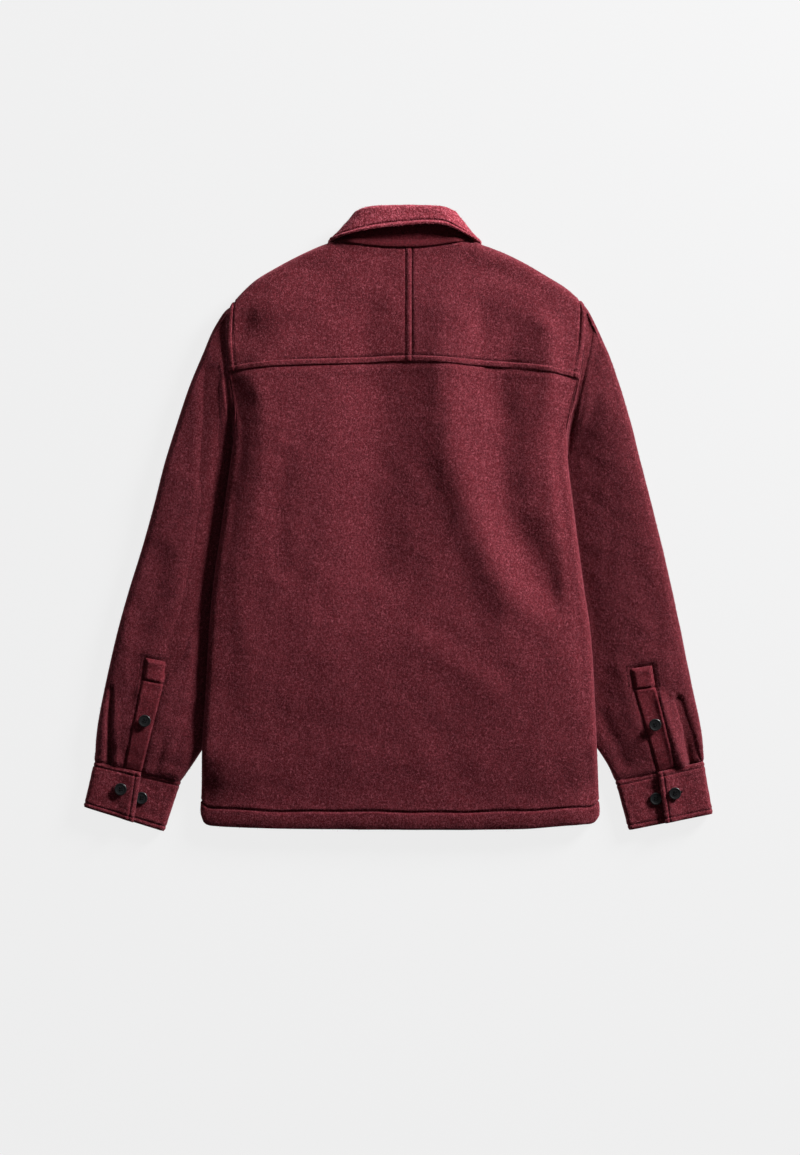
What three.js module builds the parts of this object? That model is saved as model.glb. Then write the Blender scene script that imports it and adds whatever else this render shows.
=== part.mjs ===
// Wool shacket lying on its front: body of back, split yoke and two fronts, sleeves with plackets and cuffs,
// collar on a stand, and horn-like buttons. Millimetres, +Z up from the surface, +Y from hem to collar.
import * as THREE from "three";

const CLOTH = 2.6; // felted wool, one layer
const TURNED = 3.6; // hem, turned up once
const CUFF_CLOTH = 3; // cuff, two layers pressed together
const COLLAR_CLOTH = 2.9;
const SEAM = 0.3; // between two pieces that are sewn together
const ON_PANEL = 0.45; // between a panel and what lies on it

const CENTRE_BACK = 9.6; // x of the yoke's centre seam
const CENTRE_FRONT = 4; // x of the row of front buttons
const LAP = 17; // each front passes the centre by this
const BAND_LIFT = 3.4; // the outer front lies on its buttons
const LEAF_LIFT = 3.3; // and on the collar leaf
const UNDERARM = 74; // y where side seam, armhole and sleeve meet
const SIDE_SEAM = -35; // degrees round the edge roll, 0 sideways, 90 up
// The hem is turned up to this y, and the yoke seam is at YOKE_FOOT at both ends
const HEM_TOP = -370.4;
const YOKE_FOOT = 188;
const SHOULDER_TIP = 271;
// Between these the front edge comes down to the surface, and the sleeve leaves the tuck
const BAND_SETTLES = [-345, -280];
const TUCK_ENDS = [88, 150];

const BUTTON_RADIUS = 7.8;
const BUTTON_HEIGHT = 2.6;

const WOOL = "#5b2130";
const STAND_WOOL = "#4a1a24";
const BUTTON_BLACK = "#202223";

const LEFT = -1;
const RIGHT = 1;

const radians = (degrees) => (degrees * Math.PI) / 180;
const mix = (a, b, t) => a + (b - a) * t;
const point = (x, y, z) => new THREE.Vector3(x, y, z);
const along = (a, b, t) => a.clone().lerp(b, t);
const moved = (p, direction, distance) => p.clone().addScaledVector(direction, distance);
const smooth = (from, to, x) => THREE.MathUtils.smoothstep((x - from) / (to - from), 0, 1);

// Rows of numbers read by their first column, with a smooth line through each other column
function table(columns, rows) {
  const rise = (c, i) => (rows[i + 1][c] - rows[i][c]) / (rows[i + 1][0] - rows[i][0]);
  const slope = (c, i) => {
    if (i === 0) return rise(c, 0);
    if (i === rows.length - 1) return rise(c, i - 1);
    const before = rise(c, i - 1);
    const after = rise(c, i);
    return before * after <= 0 ? 0 : (2 * before * after) / (before + after);
  };
  const read = (c) => (key) => {
    if (key <= rows[0][0]) return rows[0][c];
    if (key >= rows[rows.length - 1][0]) return rows[rows.length - 1][c];
    const i = rows.findIndex((row) => row[0] > key) - 1;
    const span = rows[i + 1][0] - rows[i][0];
    const t = (key - rows[i][0]) / span;
    const [a, b] = [rows[i][c], rows[i + 1][c]];
    const [da, db] = [slope(c, i) * span, slope(c, i + 1) * span];
    return a + t * (da + t * (3 * (b - a) - 2 * da - db + t * (2 * (a - b) + da + db)));
  };
  return Object.fromEntries(columns.slice(1).map((name, c) => [name, read(c + 1)]));
}

// Body sections across the garment: outermost x of both edge rolls, height of their underside, radius of the
// roll, and how far the middle of the back stands above the rolls
const BODY = table(
  ["y", "left", "right", "under", "roll", "dome"],
  [
    [-396, -252.6, 256.6, 0, 6.6, 3],
    [-350, -251.4, 255.2, 0.3, 7.2, 6],
    [-305, -250.3, 252.8, 9, 8.6, 8],
    [-218, -245, 249, 9, 9.6, 9],
    [-154, -241.8, 245, 9, 10, 10],
    [-90, -236.5, 236, 9, 10.2, 10],
    [-33, -228.4, 228.5, 9, 10.3, 10],
    [29, -219.8, 220.8, 9, 10.3, 10],
    [74, -213.5, 215.5, 9, 10.3, 10],
    [95, -210.9, 215, 8.6, 10.3, 10],
    [117, -210.4, 216.5, 7.8, 10.4, 10],
    [140, -214.5, 225, 6.6, 10.4, 10],
    [165, -219, 231.5, 5.4, 10.4, 10],
    [188, -222.7, 237, 4.6, 10.4, 10],
    [230, -226, 246, 3.6, 10.4, 9],
    [262, -226, 247, 3.3, 10.4, 8],
    [352, -226, 247, 3.3, 10.4, 2],
  ],
);

// Lower edge of the body
const HEM = table(
  ["x", "y"],
  [
    [-253, -380],
    [-249, -387],
    [-241, -391.5],
    [-113, -395.5],
    [74, -396.5],
    [154, -395.5],
    [217, -391],
    [248, -388],
    [257, -380],
  ],
);

// Where the yoke is lapped over the back
const YOKE_SEAM = table(
  ["x", "y"],
  [
    [-214, 187],
    [-160, 193],
    [-50, 197],
    [10, 199.6],
    [104, 193.8],
    [181, 187.6],
    [229, 178],
  ],
);

// The armhole edge of the back climbs round the edge roll, from the side seam to the top
const ARMHOLE = table(
  ["y", "turn"],
  [
    [UNDERARM, SIDE_SEAM],
    [95, -8],
    [117, 35],
    [140, 68],
    [165, 78],
    [188, 78],
  ],
);

// Inner edge of each sleeve, where it lies under the body
const TUCKED = table(
  ["y", "left", "right"],
  [
    [-293, -249, 254],
    [-226, -218, 218],
    [-176, -203, 203],
    [-126, -190, 191],
    [-76, -182, 184],
    [-5, -183, 185],
    [42, -190, 193],
    [74, -195, 198],
  ],
);

// Fan of yoke sections, a share of the way from the centre seam to the armhole: end of each on the outline,
// degrees that it turns down over the shoulder, and degrees that it leans outwards
const YOKE = [
  { share: 0, left: [9.45, 345], right: [9.75, 345], turn: 0, lean: 0 },
  { share: 0.1, left: [-13, 345.4], right: [33, 345.8], turn: 0, lean: 0 },
  { share: 0.2, left: [-40, 347.6], right: [56, 348.6], turn: 0, lean: 0 },
  { share: 0.3, left: [-64, 351.2], right: [76, 352], turn: 0, lean: 0 },
  { share: 0.36, left: [-78, 353], right: [91, 353.4], turn: 60, lean: 8 },
  { share: 0.4, left: [-86, 352.8], right: [100, 352.2], turn: 130, lean: 16 },
  { share: 0.44, left: [-94, 349.6], right: [108, 348.4], turn: 190, lean: 23 },
  { share: 0.58, left: [-124, 336.6], right: [135, 338.2], turn: 190, lean: 26 },
  { share: 0.72, left: [-155, 320.3], right: [162, 324.8], turn: 190, lean: 29 },
  { share: 0.84, left: [-182.7, 303.4], right: [190, 308.3], turn: 190, lean: 33 },
  { share: 0.92, left: [-199.8, 287.7], right: [213, 294], turn: 190, lean: 25 },
  { share: 1, left: [-214.4, 270.6], right: [236.2, 273], turn: 190, lean: -8 },
];
const NECK_SECTIONS = 7; // the first of them end at the neck
const NECK_RUN = 12; // of a section that doesn't turn
const YOKE_FLAT_STEPS = 5;
const YOKE_TURN_STEPS = 6;

// Height above the seats of both sleeves at rest, and the line each section runs along
const SLEEVE = [
  { outer: [262, -223.5, 244], inner: [69, -211.5, 214], rim: 20, middle: 26 },
  { outer: [241, -236.5, 254.5], inner: [62, -205.5, 208.5], rim: 18, middle: 26 },
  { outer: [212, -249, 267], inner: [54, -198, 201], rim: 17, middle: 26 },
  { outer: [170, -266.5, 282], inner: [42, -190, 193], rim: 17, middle: 25 },
  { outer: [122, -282.7, 296.5], inner: [22, -185, 188], rim: 17, middle: 24 },
  { outer: [72, -298.3, 309], inner: [-5, -183, 185], rim: 17, middle: 24 },
  { outer: [18, -312, 322.7], inner: [-38, -181, 183], rim: 17, middle: 23 },
  { outer: [-38, -327.6, 337], inner: [-76, -182, 184], rim: 17, middle: 23 },
  { outer: [-92, -344.4, 349.3], inner: [-126, -190, 191.5], rim: 17, middle: 23 },
  { outer: [-142, -358.3, 360], inner: [-176, -203, 203.5], rim: 16, middle: 23 },
  { outer: [-192, -370, 370], inner: [-226, -218, 218], rim: 16, middle: 22 },
  { outer: [-236, -379.3, 379.7], inner: [-264, -232.5, 233], rim: 15, middle: 22 },
  { outer: [-260, -383.6, 384.8], inner: [-281, -242, 245], rim: 15, middle: 22 },
  { outer: [-280, -386.2, 388], inner: [-300, -254, 258.5], rim: 14, middle: 21 },
  { outer: [-296, -387.2, 389.2], inner: [-318, -266, 269.5], rim: 13, middle: 18 },
  { outer: [-308.6, -388.2, 389.6], inner: [-334, -277.6, 277], rim: 12, middle: 14.5 },
];
const TUCKED_HEIGHT = 8.2; // where the sleeve lies under the body
const TUCK_RUN = 42; // over which it comes down to that
const SLEEVE_TOP_SHARES = [0.05, 0.11, 0.17, 0.24, 0.34, 0.45, 0.56, 0.67, 0.79];
const SETTLED_SECTION = 5; // from here the points of a section are shared out evenly

// Pleats at the cuff: share across the sleeve at the cuff and at the top end, section where each dies out
const PLEATS = [
  { side: LEFT, cuff: 0.17, top: 0.2, section: 11.5, height: -4, width: 0.035 },
  { side: LEFT, cuff: 0.24, top: 0.27, section: 12, height: 2, width: 0.05 },
  { side: RIGHT, cuff: 0.14, top: 0.2, section: 11, height: -5, width: 0.04 },
  { side: RIGHT, cuff: 0.24, top: 0.36, section: 11, height: 2.5, width: 0.05 },
];

// Largest folds of the back: soft ridges and troughs from one end to the other
const FOLDS = [
  { from: [64, 215], to: [88, 114], height: 4, width: 24 },
  { from: [88, 114], to: [128, -40], height: 5, width: 24 },
  { from: [128, -40], to: [172, -110], height: 3, width: 26 },
  { from: [138, 130], to: [150, -10], height: -4, width: 22 },
  { from: [200, 120], to: [206, 10], height: 2, width: 18 },
  { from: [-170, 60], to: [-160, -60], height: -3, width: 30 },
  { from: [-60, 130], to: [-70, 0], height: 2.5, width: 34 },
  { from: [0, 120], to: [10, -60], height: -2, width: 36 },
];

// Collar sections from the centre back to the centre front: direction out of the stand in degrees, 90 up; radius
// of the fold; where the fold and the free edge of the leaf lie. One section on each point of the neck seam.
const COLLAR = [
  { turn: 90, radius: 6.2, fold: [398.2, 10, 10, 27], left: [10, 371.5], right: [10, 371.5], edge: 35 },
  { turn: 90, radius: 6.2, fold: [397.8, -13, 33, 27], left: [-13, 369.4], right: [36, 373.2], edge: 35 },
  { turn: 90, radius: 6, fold: [396.6, -36, 56, 26], left: [-45, 364.8], right: [60, 371.4], edge: 34 },
  { turn: 70, radius: 5.6, fold: [393.4, -48, 66, 21], left: [-70, 359.5], right: [84, 362], edge: 29 },
  { turn: 20, radius: 4.8, fold: [389, -51, 69.5, 15], left: [-86.6, 355.4], right: [102.5, 354], edge: 18 },
  { turn: -40, radius: 4, fold: [383, -50, 68, 8.5], left: [-90, 355], right: [106, 354.5], edge: 5 },
  { turn: -80, radius: 3.4, fold: [372, -45, 62, 4.4], left: [-90, 345], right: [105, 344], edge: 0.2 },
  { turn: -90, radius: 3.3, fold: [357, -37, 51, 3.35], left: [-82, 325], right: [95, 325], edge: 0.05 },
  { turn: -90, radius: 3.3, fold: [343, -28, 40, 3.35], left: [-77, 310], right: [89, 310], edge: 0.05 },
  { turn: -90, radius: 3.3, fold: [329, -18, 28, 3.35], left: [-70, 294], right: [80, 294], edge: 0.05 },
  { turn: -90, radius: 3.3, fold: [316, -8, 17, 3.35], left: [-60, 276], right: [69, 276], edge: 0.05 },
  { turn: -90, radius: 3.3, fold: [306, 3.6, 4.4, 3.35], left: [-46, 257], right: [54, 257], edge: 0.05 },
];
const COLLAR_LEG = 3; // of the leaf, before it turns over

// Rows of each front above the underarm: y on the armhole, and the front edge or neckline as how far it lies
// on the piece's own side of the centre front, and its y
const FRONT_ROWS = [
  { armhole: 95, inset: -LAP, y: 104 },
  { armhole: 125, inset: -LAP, y: 146 },
  { armhole: 160, inset: -LAP, y: 200 },
  { armhole: 200, inset: -LAP, y: 261.6 },
  { armhole: 207, inset: 0, y: 262.2 },
  { armhole: 216, inset: 26, y: 266 },
  { armhole: 226, inset: 52, y: 282 },
  { armhole: 237, inset: 71, y: 302 },
  { armhole: 249, inset: 83, y: 320 },
];
const SHARED_ROWS = [-396, -371.6, -369.6, -348, -327, -305, -275, -240, -205, -170, -135, -100, -65, -30, 5, 40, 74];
const BACK_ROWS = [92, 112, 136, 160];

const CUFF = {
  [LEFT]: { top: [[-388.2, -309.4], [-277.6, -334.6]], bottom: [[-402, -367], [-299, -399]], over: [0.545, 0.622] },
  [RIGHT]: { top: [[389.6, -309.4], [277, -334.6]], bottom: [[401.3, -376], [294, -397.4]], over: [0.527, 0.57] },
};
const CUFF_HEIGHT = 15.4;
const CUFF_UNDER = 12; // top of the end that lies below
const CUFF_LIP = 18.3; // the end above is lifted by the second button
const CUFF_ROWS = 4;

const PLACKET = {
  [LEFT]: [
    { outer: [-321.5, -177], inner: [-295, -182.5] },
    { outer: [-325.5, -204.8], inner: [-298.5, -210.5] },
    { outer: [-347.6, -308.5], inner: [-325.8, -313.5] },
  ],
  [RIGHT]: [
    { outer: [322.3, -187], inner: [296, -191] },
    { outer: [326.5, -213.8], inner: [300, -218] },
    { outer: [350.2, -308.5], inner: [328.6, -313.5] },
  ],
};
const PLACKET_HEIGHT = 2.2;

const PLACKET_BUTTONS = { [LEFT]: [-322.3, -257], [RIGHT]: [325.9, -262] };
const CUFF_BUTTONS = { [LEFT]: [-353.7, -344.4], [RIGHT]: [351.7, -349.6] };
const SECOND_BUTTONS = { [LEFT]: [-327.6, -356], [RIGHT]: [328, -357] };
const FRONT_BUTTON_YS = [235, 145, 55, -35, -125, -215];

// Walls

// Direction of a line of points at one of them, with its curve followed to the ends
function tangent(line, k) {
  const last = line.length - 1;
  if (k > 0 && k < last) return line[k + 1].clone().sub(line[k - 1]);
  const step = k === 0 ? 1 : -1;
  const [a, b, c] = [line[k], line[k + step], line[k + 2 * step]];
  return a.clone().multiplyScalar(-3).addScaledVector(b, 4).sub(c).multiplyScalar(step);
}

function normals(grid, sign) {
  const columns = grid[0].map((_, j) => grid.map((row) => row[j]));
  return grid.map((row, i) =>
    row.map((_, j) => tangent(row, j).cross(tangent(columns[j], i)).normalize().multiplyScalar(sign)),
  );
}

// Closed cloth between two grids of points; a ring's rows close on themselves
function wall(outer, inner, ring = false) {
  const [rows, columns] = [outer.length, outer[0].length];
  const positions = [...outer.flat(), ...inner.flat()].flatMap((p) => [p.x, p.y, p.z]);
  const faces = [];
  const quad = (a, b, c, d) => faces.push(a, b, c, a, c, d);
  const out = (i, j) => i * columns + (j % columns);
  const inn = (i, j) => rows * columns + out(i, j);
  const lastColumn = ring ? columns : columns - 1;
  for (let i = 0; i < rows - 1; i++) {
    for (let j = 0; j < lastColumn; j++) {
      quad(out(i, j), out(i, j + 1), out(i + 1, j + 1), out(i + 1, j));
      quad(inn(i, j), inn(i + 1, j), inn(i + 1, j + 1), inn(i, j + 1));
    }
    if (!ring) {
      quad(out(i, 0), out(i + 1, 0), inn(i + 1, 0), inn(i, 0));
      quad(out(i, columns - 1), inn(i, columns - 1), inn(i + 1, columns - 1), out(i + 1, columns - 1));
    }
  }
  for (let j = 0; j < lastColumn; j++) {
    quad(out(0, j), inn(0, j), inn(0, j + 1), out(0, j + 1));
    quad(out(rows - 1, j), out(rows - 1, j + 1), inn(rows - 1, j + 1), inn(rows - 1, j));
  }
  const geometry = new THREE.BufferGeometry();
  geometry.setAttribute("position", new THREE.Float32BufferAttribute(positions, 3));
  geometry.setIndex(signedVolume(positions, faces) < 0 ? faces.toReversed() : faces);
  geometry.computeVertexNormals();
  return geometry;
}

function signedVolume(positions, faces) {
  const corner = (i) => point(positions[3 * i], positions[3 * i + 1], positions[3 * i + 2]);
  let volume = 0;
  for (let f = 0; f < faces.length; f += 3) {
    volume += corner(faces[f]).dot(corner(faces[f + 1]).cross(corner(faces[f + 2]))) / 6;
  }
  return volume;
}

// Inner side of a grid: each point moved against its normal by the thickness there
function inside(grid, sign, thickness) {
  const out = normals(grid, sign);
  return grid.map((row, i) => row.map((p, j) => moved(p, out[i][j], -thickness(p))));
}

const bodyThickness = (p) => (p.y < HEM_TOP ? TURNED : CLOTH);

// Points on the edge of a piece, each with the normal of its cloth and the direction away from the piece
function edgeFrames(points, nextIn, edgeNormals) {
  return points.map((p, i) => {
    const out = tangent(points, i).cross(edgeNormals[i]).normalize();
    const away = p.clone().sub(nextIn[i]).dot(out);
    return { at: p, normal: edgeNormals[i], out: out.multiplyScalar(Math.sign(away)) };
  });
}

function between(a, b) {
  return {
    at: along(a.at, b.at, 0.5),
    normal: a.normal.clone().add(b.normal).normalize(),
    out: a.out.clone().add(b.out).normalize(),
  };
}

// Body surfaces

function foldHeight(x, y) {
  let height = 0;
  for (const { from, to, height: top, width } of FOLDS) {
    const [dx, dy] = [to[0] - from[0], to[1] - from[1]];
    const t = THREE.MathUtils.clamp(((x - from[0]) * dx + (y - from[1]) * dy) / (dx * dx + dy * dy), 0, 1);
    const away = Math.hypot(x - from[0] - dx * t, y - from[1] - dy * t);
    height += top * Math.exp(-((away / width) ** 2));
  }
  return height;
}

function shoulderY(x) {
  const side = x < CENTRE_BACK ? "left" : "right";
  const reach = YOKE.findIndex((section) => Math.abs(section[side][0]) > Math.abs(x));
  if (reach < 1) return reach < 0 ? YOKE.at(-1)[side][1] : YOKE[0][side][1];
  const [a, b] = [YOKE[reach - 1][side], YOKE[reach][side]];
  return mix(a[1], b[1], (x - a[0]) / (b[0] - a[0]));
}

// Top of the body
function topZ(x, y) {
  const roll = BODY.roll(y);
  const fromLeft = Math.max(0, x - BODY.left(y) - roll);
  const fromRight = Math.max(0, BODY.right(y) - roll - x);
  const fromShoulder = Math.max(0, shoulderY(x) - roll - y);
  const nearest = Math.min(fromLeft, fromRight, fromShoulder);
  const reach = (distance, over) => 1 - Math.exp(-distance / over);
  const rise = reach(fromLeft, 55) * reach(fromRight, 55) * reach(fromShoulder, 40);
  return BODY.under(y) + 2 * roll + BODY.dome(y) * rise + foldHeight(x, y) * smooth(0, 30, nearest);
}

// Underside of the body, before the laps of the fronts
function lowerZ(side, x, y) {
  const tucked = side === LEFT ? TUCKED.left(y) : TUCKED.right(y);
  const inward = side * (tucked - x);
  const overSleeve = BODY.under(y) * (1 - smooth(8, 40, inward));
  return Math.max(overSleeve, LEAF_LIFT * smooth(205, 246, y));
}

// The left front lies lowest, on the buttons; the right front passes over its edge
function frontZ(side, x, y) {
  const beside = Math.abs(x - CENTRE_FRONT);
  const band = mix(0.4, BAND_LIFT, smooth(...BAND_SETTLES, y));
  const outerFront = Math.max(lowerZ(x < CENTRE_FRONT ? LEFT : RIGHT, x, y), band * (1 - smooth(19, 48, beside)));
  if (side === LEFT) return outerFront;
  const overLap = 1 - smooth(LAP + 18, LAP + 60, x - CENTRE_FRONT);
  const below = band + mix(TURNED, CLOTH, smooth(-370, -330, y));
  return Math.max(lowerZ(RIGHT, x, y), (below + ON_PANEL) * overLap);
}

const edgeX = (side, y) => (side === LEFT ? BODY.left(y) : BODY.right(y));

// Point on the edge roll of one side, by degrees round it
function rollPoint(side, degrees, y) {
  const roll = BODY.roll(y);
  const x = edgeX(side, y) - side * roll * (1 - Math.cos(radians(degrees)));
  return point(x, y, BODY.under(y) + roll * (1 + Math.sin(radians(degrees))));
}

const sharedY = (x, row) => mix(HEM.y(x), UNDERARM, (row - SHARED_ROWS[0]) / (UNDERARM - SHARED_ROWS[0]));

function backGrid() {
  const rollSteps = 6;
  const topSteps = 14;
  const seamY = (x) => YOKE_SEAM.y(x) - SEAM / 2;
  const upper = (x, row) => mix(UNDERARM, seamY(x), (row - UNDERARM) / (YOKE_FOOT - UNDERARM));
  const rows = [...SHARED_ROWS, ...BACK_ROWS, YOKE_FOOT];
  return rows.map((row) => {
    const place = (x) => (row <= UNDERARM ? sharedY(x, row) : upper(x, row));
    const turned = (side, t) => {
      const start = row <= UNDERARM ? SIDE_SEAM : ARMHOLE.turn(row);
      const rough = rollPoint(side, mix(start, 90, t), row);
      return point(rough.x, place(rough.x), rough.z);
    };
    const points = [];
    for (let k = 0; k < rollSteps; k++) points.push(turned(LEFT, k / rollSteps));
    const [from, to] = [rollPoint(LEFT, 90, row).x, rollPoint(RIGHT, 90, row).x];
    for (let k = 0; k <= topSteps; k++) {
      const x = mix(from, to, k / topSteps);
      const y = place(x);
      const end = k === 0 || k === topSteps;
      points.push(point(x, y, end ? rollPoint(LEFT, 90, row).z : topZ(x, y)));
    }
    for (let k = rollSteps - 1; k >= 0; k--) points.push(turned(RIGHT, k / rollSteps));
    return points;
  });
}

function yokeGrid(side) {
  const name = side === LEFT ? "left" : "right";
  const start = CENTRE_BACK + (side * SEAM) / 2;
  const armholeX = rollPoint(side, 78, YOKE_FOOT).x;
  return YOKE.map(({ share, turn, lean, [name]: end }) => {
    const out = point(side * Math.sin(radians(lean)), Math.cos(radians(lean)), 0);
    const x = mix(start, armholeX, share);
    const foot = point(x, YOKE_SEAM.y(x) + SEAM / 2, 0);
    const tip = point(end[0], end[1], 0);
    let radius = BODY.roll(end[1]);
    for (let pass = 0; pass < 4; pass++) {
      const head = moved(tip, out, -radius);
      radius = (topZ(head.x, head.y) - LEAF_LIFT) / 2;
    }
    const run = Math.max(NECK_RUN, radius * mix(1, 2.2, smooth(130, 0, turn)) * radians(turn));
    const bend = radians(Math.max(turn, 0.01)) / run;
    const reach = Math.sin(Math.min(radians(turn), Math.PI / 2)) / bend;
    const head = moved(tip, out, turn > 0 ? -reach : -NECK_RUN);
    const bow = 3 * side * smooth(0.8, 1, share);
    const points = [];
    for (let k = 0; k <= YOKE_FLAT_STEPS; k++) {
      const p = along(foot, head, k / YOKE_FLAT_STEPS);
      p.x += bow * Math.sin((Math.PI * k) / YOKE_FLAT_STEPS);
      p.z = topZ(p.x, p.y);
      points.push(p);
    }
    const top = points.at(-1).z;
    for (let k = 1; k <= YOKE_TURN_STEPS; k++) {
      const angle = (bend * run * k) / YOKE_TURN_STEPS;
      const p = moved(head, out, Math.sin(angle) / bend);
      p.z = top - (1 - Math.cos(angle)) / bend;
      points.push(p);
    }
    return points;
  });
}

// Points of a front's top edge, from the tip of the shoulder to the neck: two to each section of its yoke
function shoulderSeam(yoke) {
  const ends = yoke.slice(NECK_SECTIONS - 1).map((column) => column.at(-1)).reverse();
  const halves = ends.slice(1).flatMap((p, k) => [along(ends[k], p, 0.5), p]);
  return [ends[0], ...halves].map((p) => point(p.x, p.y - SEAM, p.z));
}

function frontGrid(side, yoke) {
  const rollSteps = 3;
  const seam = shoulderSeam(yoke);
  const [tip, corner] = [seam[0], seam.at(-1)];
  const shares = seam.map((p) => (p.x - tip.x) / (corner.x - tip.x));
  const gap = (1.6 * SEAM / BODY.roll(0)) * (180 / Math.PI);
  const lower = SHARED_ROWS.map((row) => ({ armhole: row, inset: -LAP, shared: true }));
  const rows = [...lower, ...FRONT_ROWS].map((row) => {
    const y = row.armhole;
    const start = mix(SIDE_SEAM - gap, -88, smooth(UNDERARM, 125, y));
    const innerX = CENTRE_FRONT + side * row.inset;
    const flatFrom = edgeX(side, y) - side * BODY.roll(y);
    const height = (y - UNDERARM) / (tip.y - UNDERARM);
    const place = (x, k) => {
      if (row.shared) return sharedY(x, y);
      const raise = seam[k].y - mix(tip.y, corner.y, shares[k]);
      return mix(y, row.y, shares[k]) + raise * height ** 2;
    };
    const roll = Array.from({ length: rollSteps }, (_, k) => {
      const p = rollPoint(side, mix(start, -90, k / rollSteps), y);
      return point(p.x, place(p.x, 0), p.z);
    });
    const flat = shares.map((share, k) => {
      const x = mix(flatFrom, innerX, share);
      const placed = place(x, k);
      return point(x, placed, k === 0 ? rollPoint(side, -90, y).z : frontZ(side, x, placed));
    });
    return [...roll, ...flat];
  });
  const rollEnd = Array.from({ length: rollSteps }, (_, k) => moved(tip, point(side, 0, 0), 0.1 * (rollSteps - k)));
  return [...rows, [...rollEnd, ...seam]];
}

const back = backGrid();
const yokes = { [LEFT]: yokeGrid(LEFT), [RIGHT]: yokeGrid(RIGHT) };
const fronts = { [LEFT]: frontGrid(LEFT, yokes[LEFT]), [RIGHT]: frontGrid(RIGHT, yokes[RIGHT]) };

// Sleeves

function armholeLoop(side) {
  const yoke = yokes[side];
  const yokeNormals = normals(yoke, -side);
  const yokeEdge = edgeFrames(yoke.at(-1), yoke.at(-2), yokeNormals.at(-1));
  const from = SHARED_ROWS.length - 1;
  const column = side === LEFT ? 0 : back[0].length - 1;
  const backNormals = normals(back, 1);
  const pick = (grid, j) => grid.slice(from).map((row) => row[j]);
  const nextColumn = column + (side === LEFT ? 1 : -1);
  const backEdge = edgeFrames(pick(back, column), pick(back, nextColumn), pick(backNormals, column));
  const front = fronts[side];
  const frontNormals = normals(front, side);
  const frontEdge = edgeFrames(pick(front, 0), pick(front, 1), pick(frontNormals, 0));
  // over the top from the shoulder to the underarm, then back along the front
  return [
    between(yokeEdge.at(-1), frontEdge.at(-1)),
    ...yokeEdge.slice(1, -1).reverse(),
    between(yokeEdge[0], backEdge.at(-1)),
    ...backEdge.slice(1, -1).reverse(),
    between(backEdge[0], frontEdge[0]),
    ...frontEdge.slice(1, -1),
  ];
}

// How each point of a sleeve section is found: an angle at a rounded end, or a share across the top or bottom
function sectionPlan() {
  const turned = Array.from({ length: YOKE_TURN_STEPS }, (_, k) => 90 - (190 * (YOKE_TURN_STEPS - k)) / YOKE_TURN_STEPS);
  const bottomShares = FRONT_ROWS.map(({ armhole }) => (SHOULDER_TIP - armhole) / (SHOULDER_TIP - UNDERARM));
  return [
    ...turned.map((angle) => ({ end: "outer", angle: Math.max(angle, -90) })),
    ...SLEEVE_TOP_SHARES.map((share) => ({ share, top: true })),
    { end: "inner", angle: 55 },
    { end: "inner", angle: 0 },
    { end: "inner", angle: -55 },
    ...bottomShares.slice(1).map((share) => ({ share, top: false })),
  ];
}

function pleatHeight(side, share, section) {
  let height = 0;
  for (const pleat of PLEATS) {
    if (pleat.side !== side) continue;
    const t = THREE.MathUtils.clamp((section - pleat.section) / (SLEEVE.length - pleat.section), 0, 1);
    const middle = mix(pleat.top, pleat.cuff, t);
    height += pleat.height * smooth(0, 1, t) * Math.exp(-(((share - middle) / pleat.width) ** 2));
  }
  return height;
}

// One section of a sleeve, drawn in by a distance for its inner side
function sleeveSection(side, index, plan, loop, inset) {
  const { outer, inner, rim, middle } = SLEEVE[index];
  const pickX = (entry) => (side === LEFT ? entry[1] : entry[2]);
  const from = point(pickX(outer), outer[0], 0);
  const to = point(pickX(inner), inner[0], 0);
  const length = from.distanceTo(to);
  const across = to.clone().sub(from).normalize();
  const at = (distance) => moved(from, across, distance);
  const height = (share) => {
    const p = at(share * length);
    const under = side * (edgeX(side, p.y) - p.x);
    const open = mix(rim, middle, Math.sin(Math.PI * Math.min(0.5, share)) ** 0.8);
    const tucked = mix(open, Math.min(open, TUCKED_HEIGHT), smooth(-TUCK_RUN, -2, under));
    const tuck = 1 - smooth(...TUCK_ENDS, p.y);
    return mix(open, tucked, tuck) + pleatHeight(side, share, index + 1);
  };
  const settled = smooth(0, SETTLED_SECTION, index + 1);
  return plan.map((entry, m) => {
    if (entry.end) {
      const far = entry.end === "inner";
      const half = height(far ? 0.97 : 0.03) / 2;
      const reach = (half - inset) * (1 - Math.cos(radians(entry.angle))) + inset;
      const p = at(far ? length - reach : reach);
      p.z = half + (half - inset) * Math.sin(radians(entry.angle));
      return p;
    }
    const seamShare = (SHOULDER_TIP - loop[m].at.y) / (SHOULDER_TIP - UNDERARM);
    const share = entry.top ? mix(seamShare, entry.share, settled) : entry.share;
    const p = at(share * length);
    p.z = entry.top ? height(share) - inset : inset;
    return p;
  });
}

function sleeveGrids(side) {
  const loop = armholeLoop(side);
  const plan = sectionPlan();
  const gap = (frame, { end }) => (end === "inner" ? 4 : end === "outer" || frame.at.y < 170 ? 3 : 1) * SEAM;
  const seam = loop.map((frame, m) => moved(frame.at, frame.out, gap(frame, plan[m])));
  const seamInside = seam.map((p, m) => moved(p, loop[m].normal, -CLOTH));
  const sections = (inset) => SLEEVE.map((_, index) => sleeveSection(side, index, plan, loop, inset));
  return { outer: [seam, ...sections(0)], inner: [seamInside, ...sections(CLOTH)] };
}

const sleeves = { [LEFT]: sleeveGrids(LEFT), [RIGHT]: sleeveGrids(RIGHT) };

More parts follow.
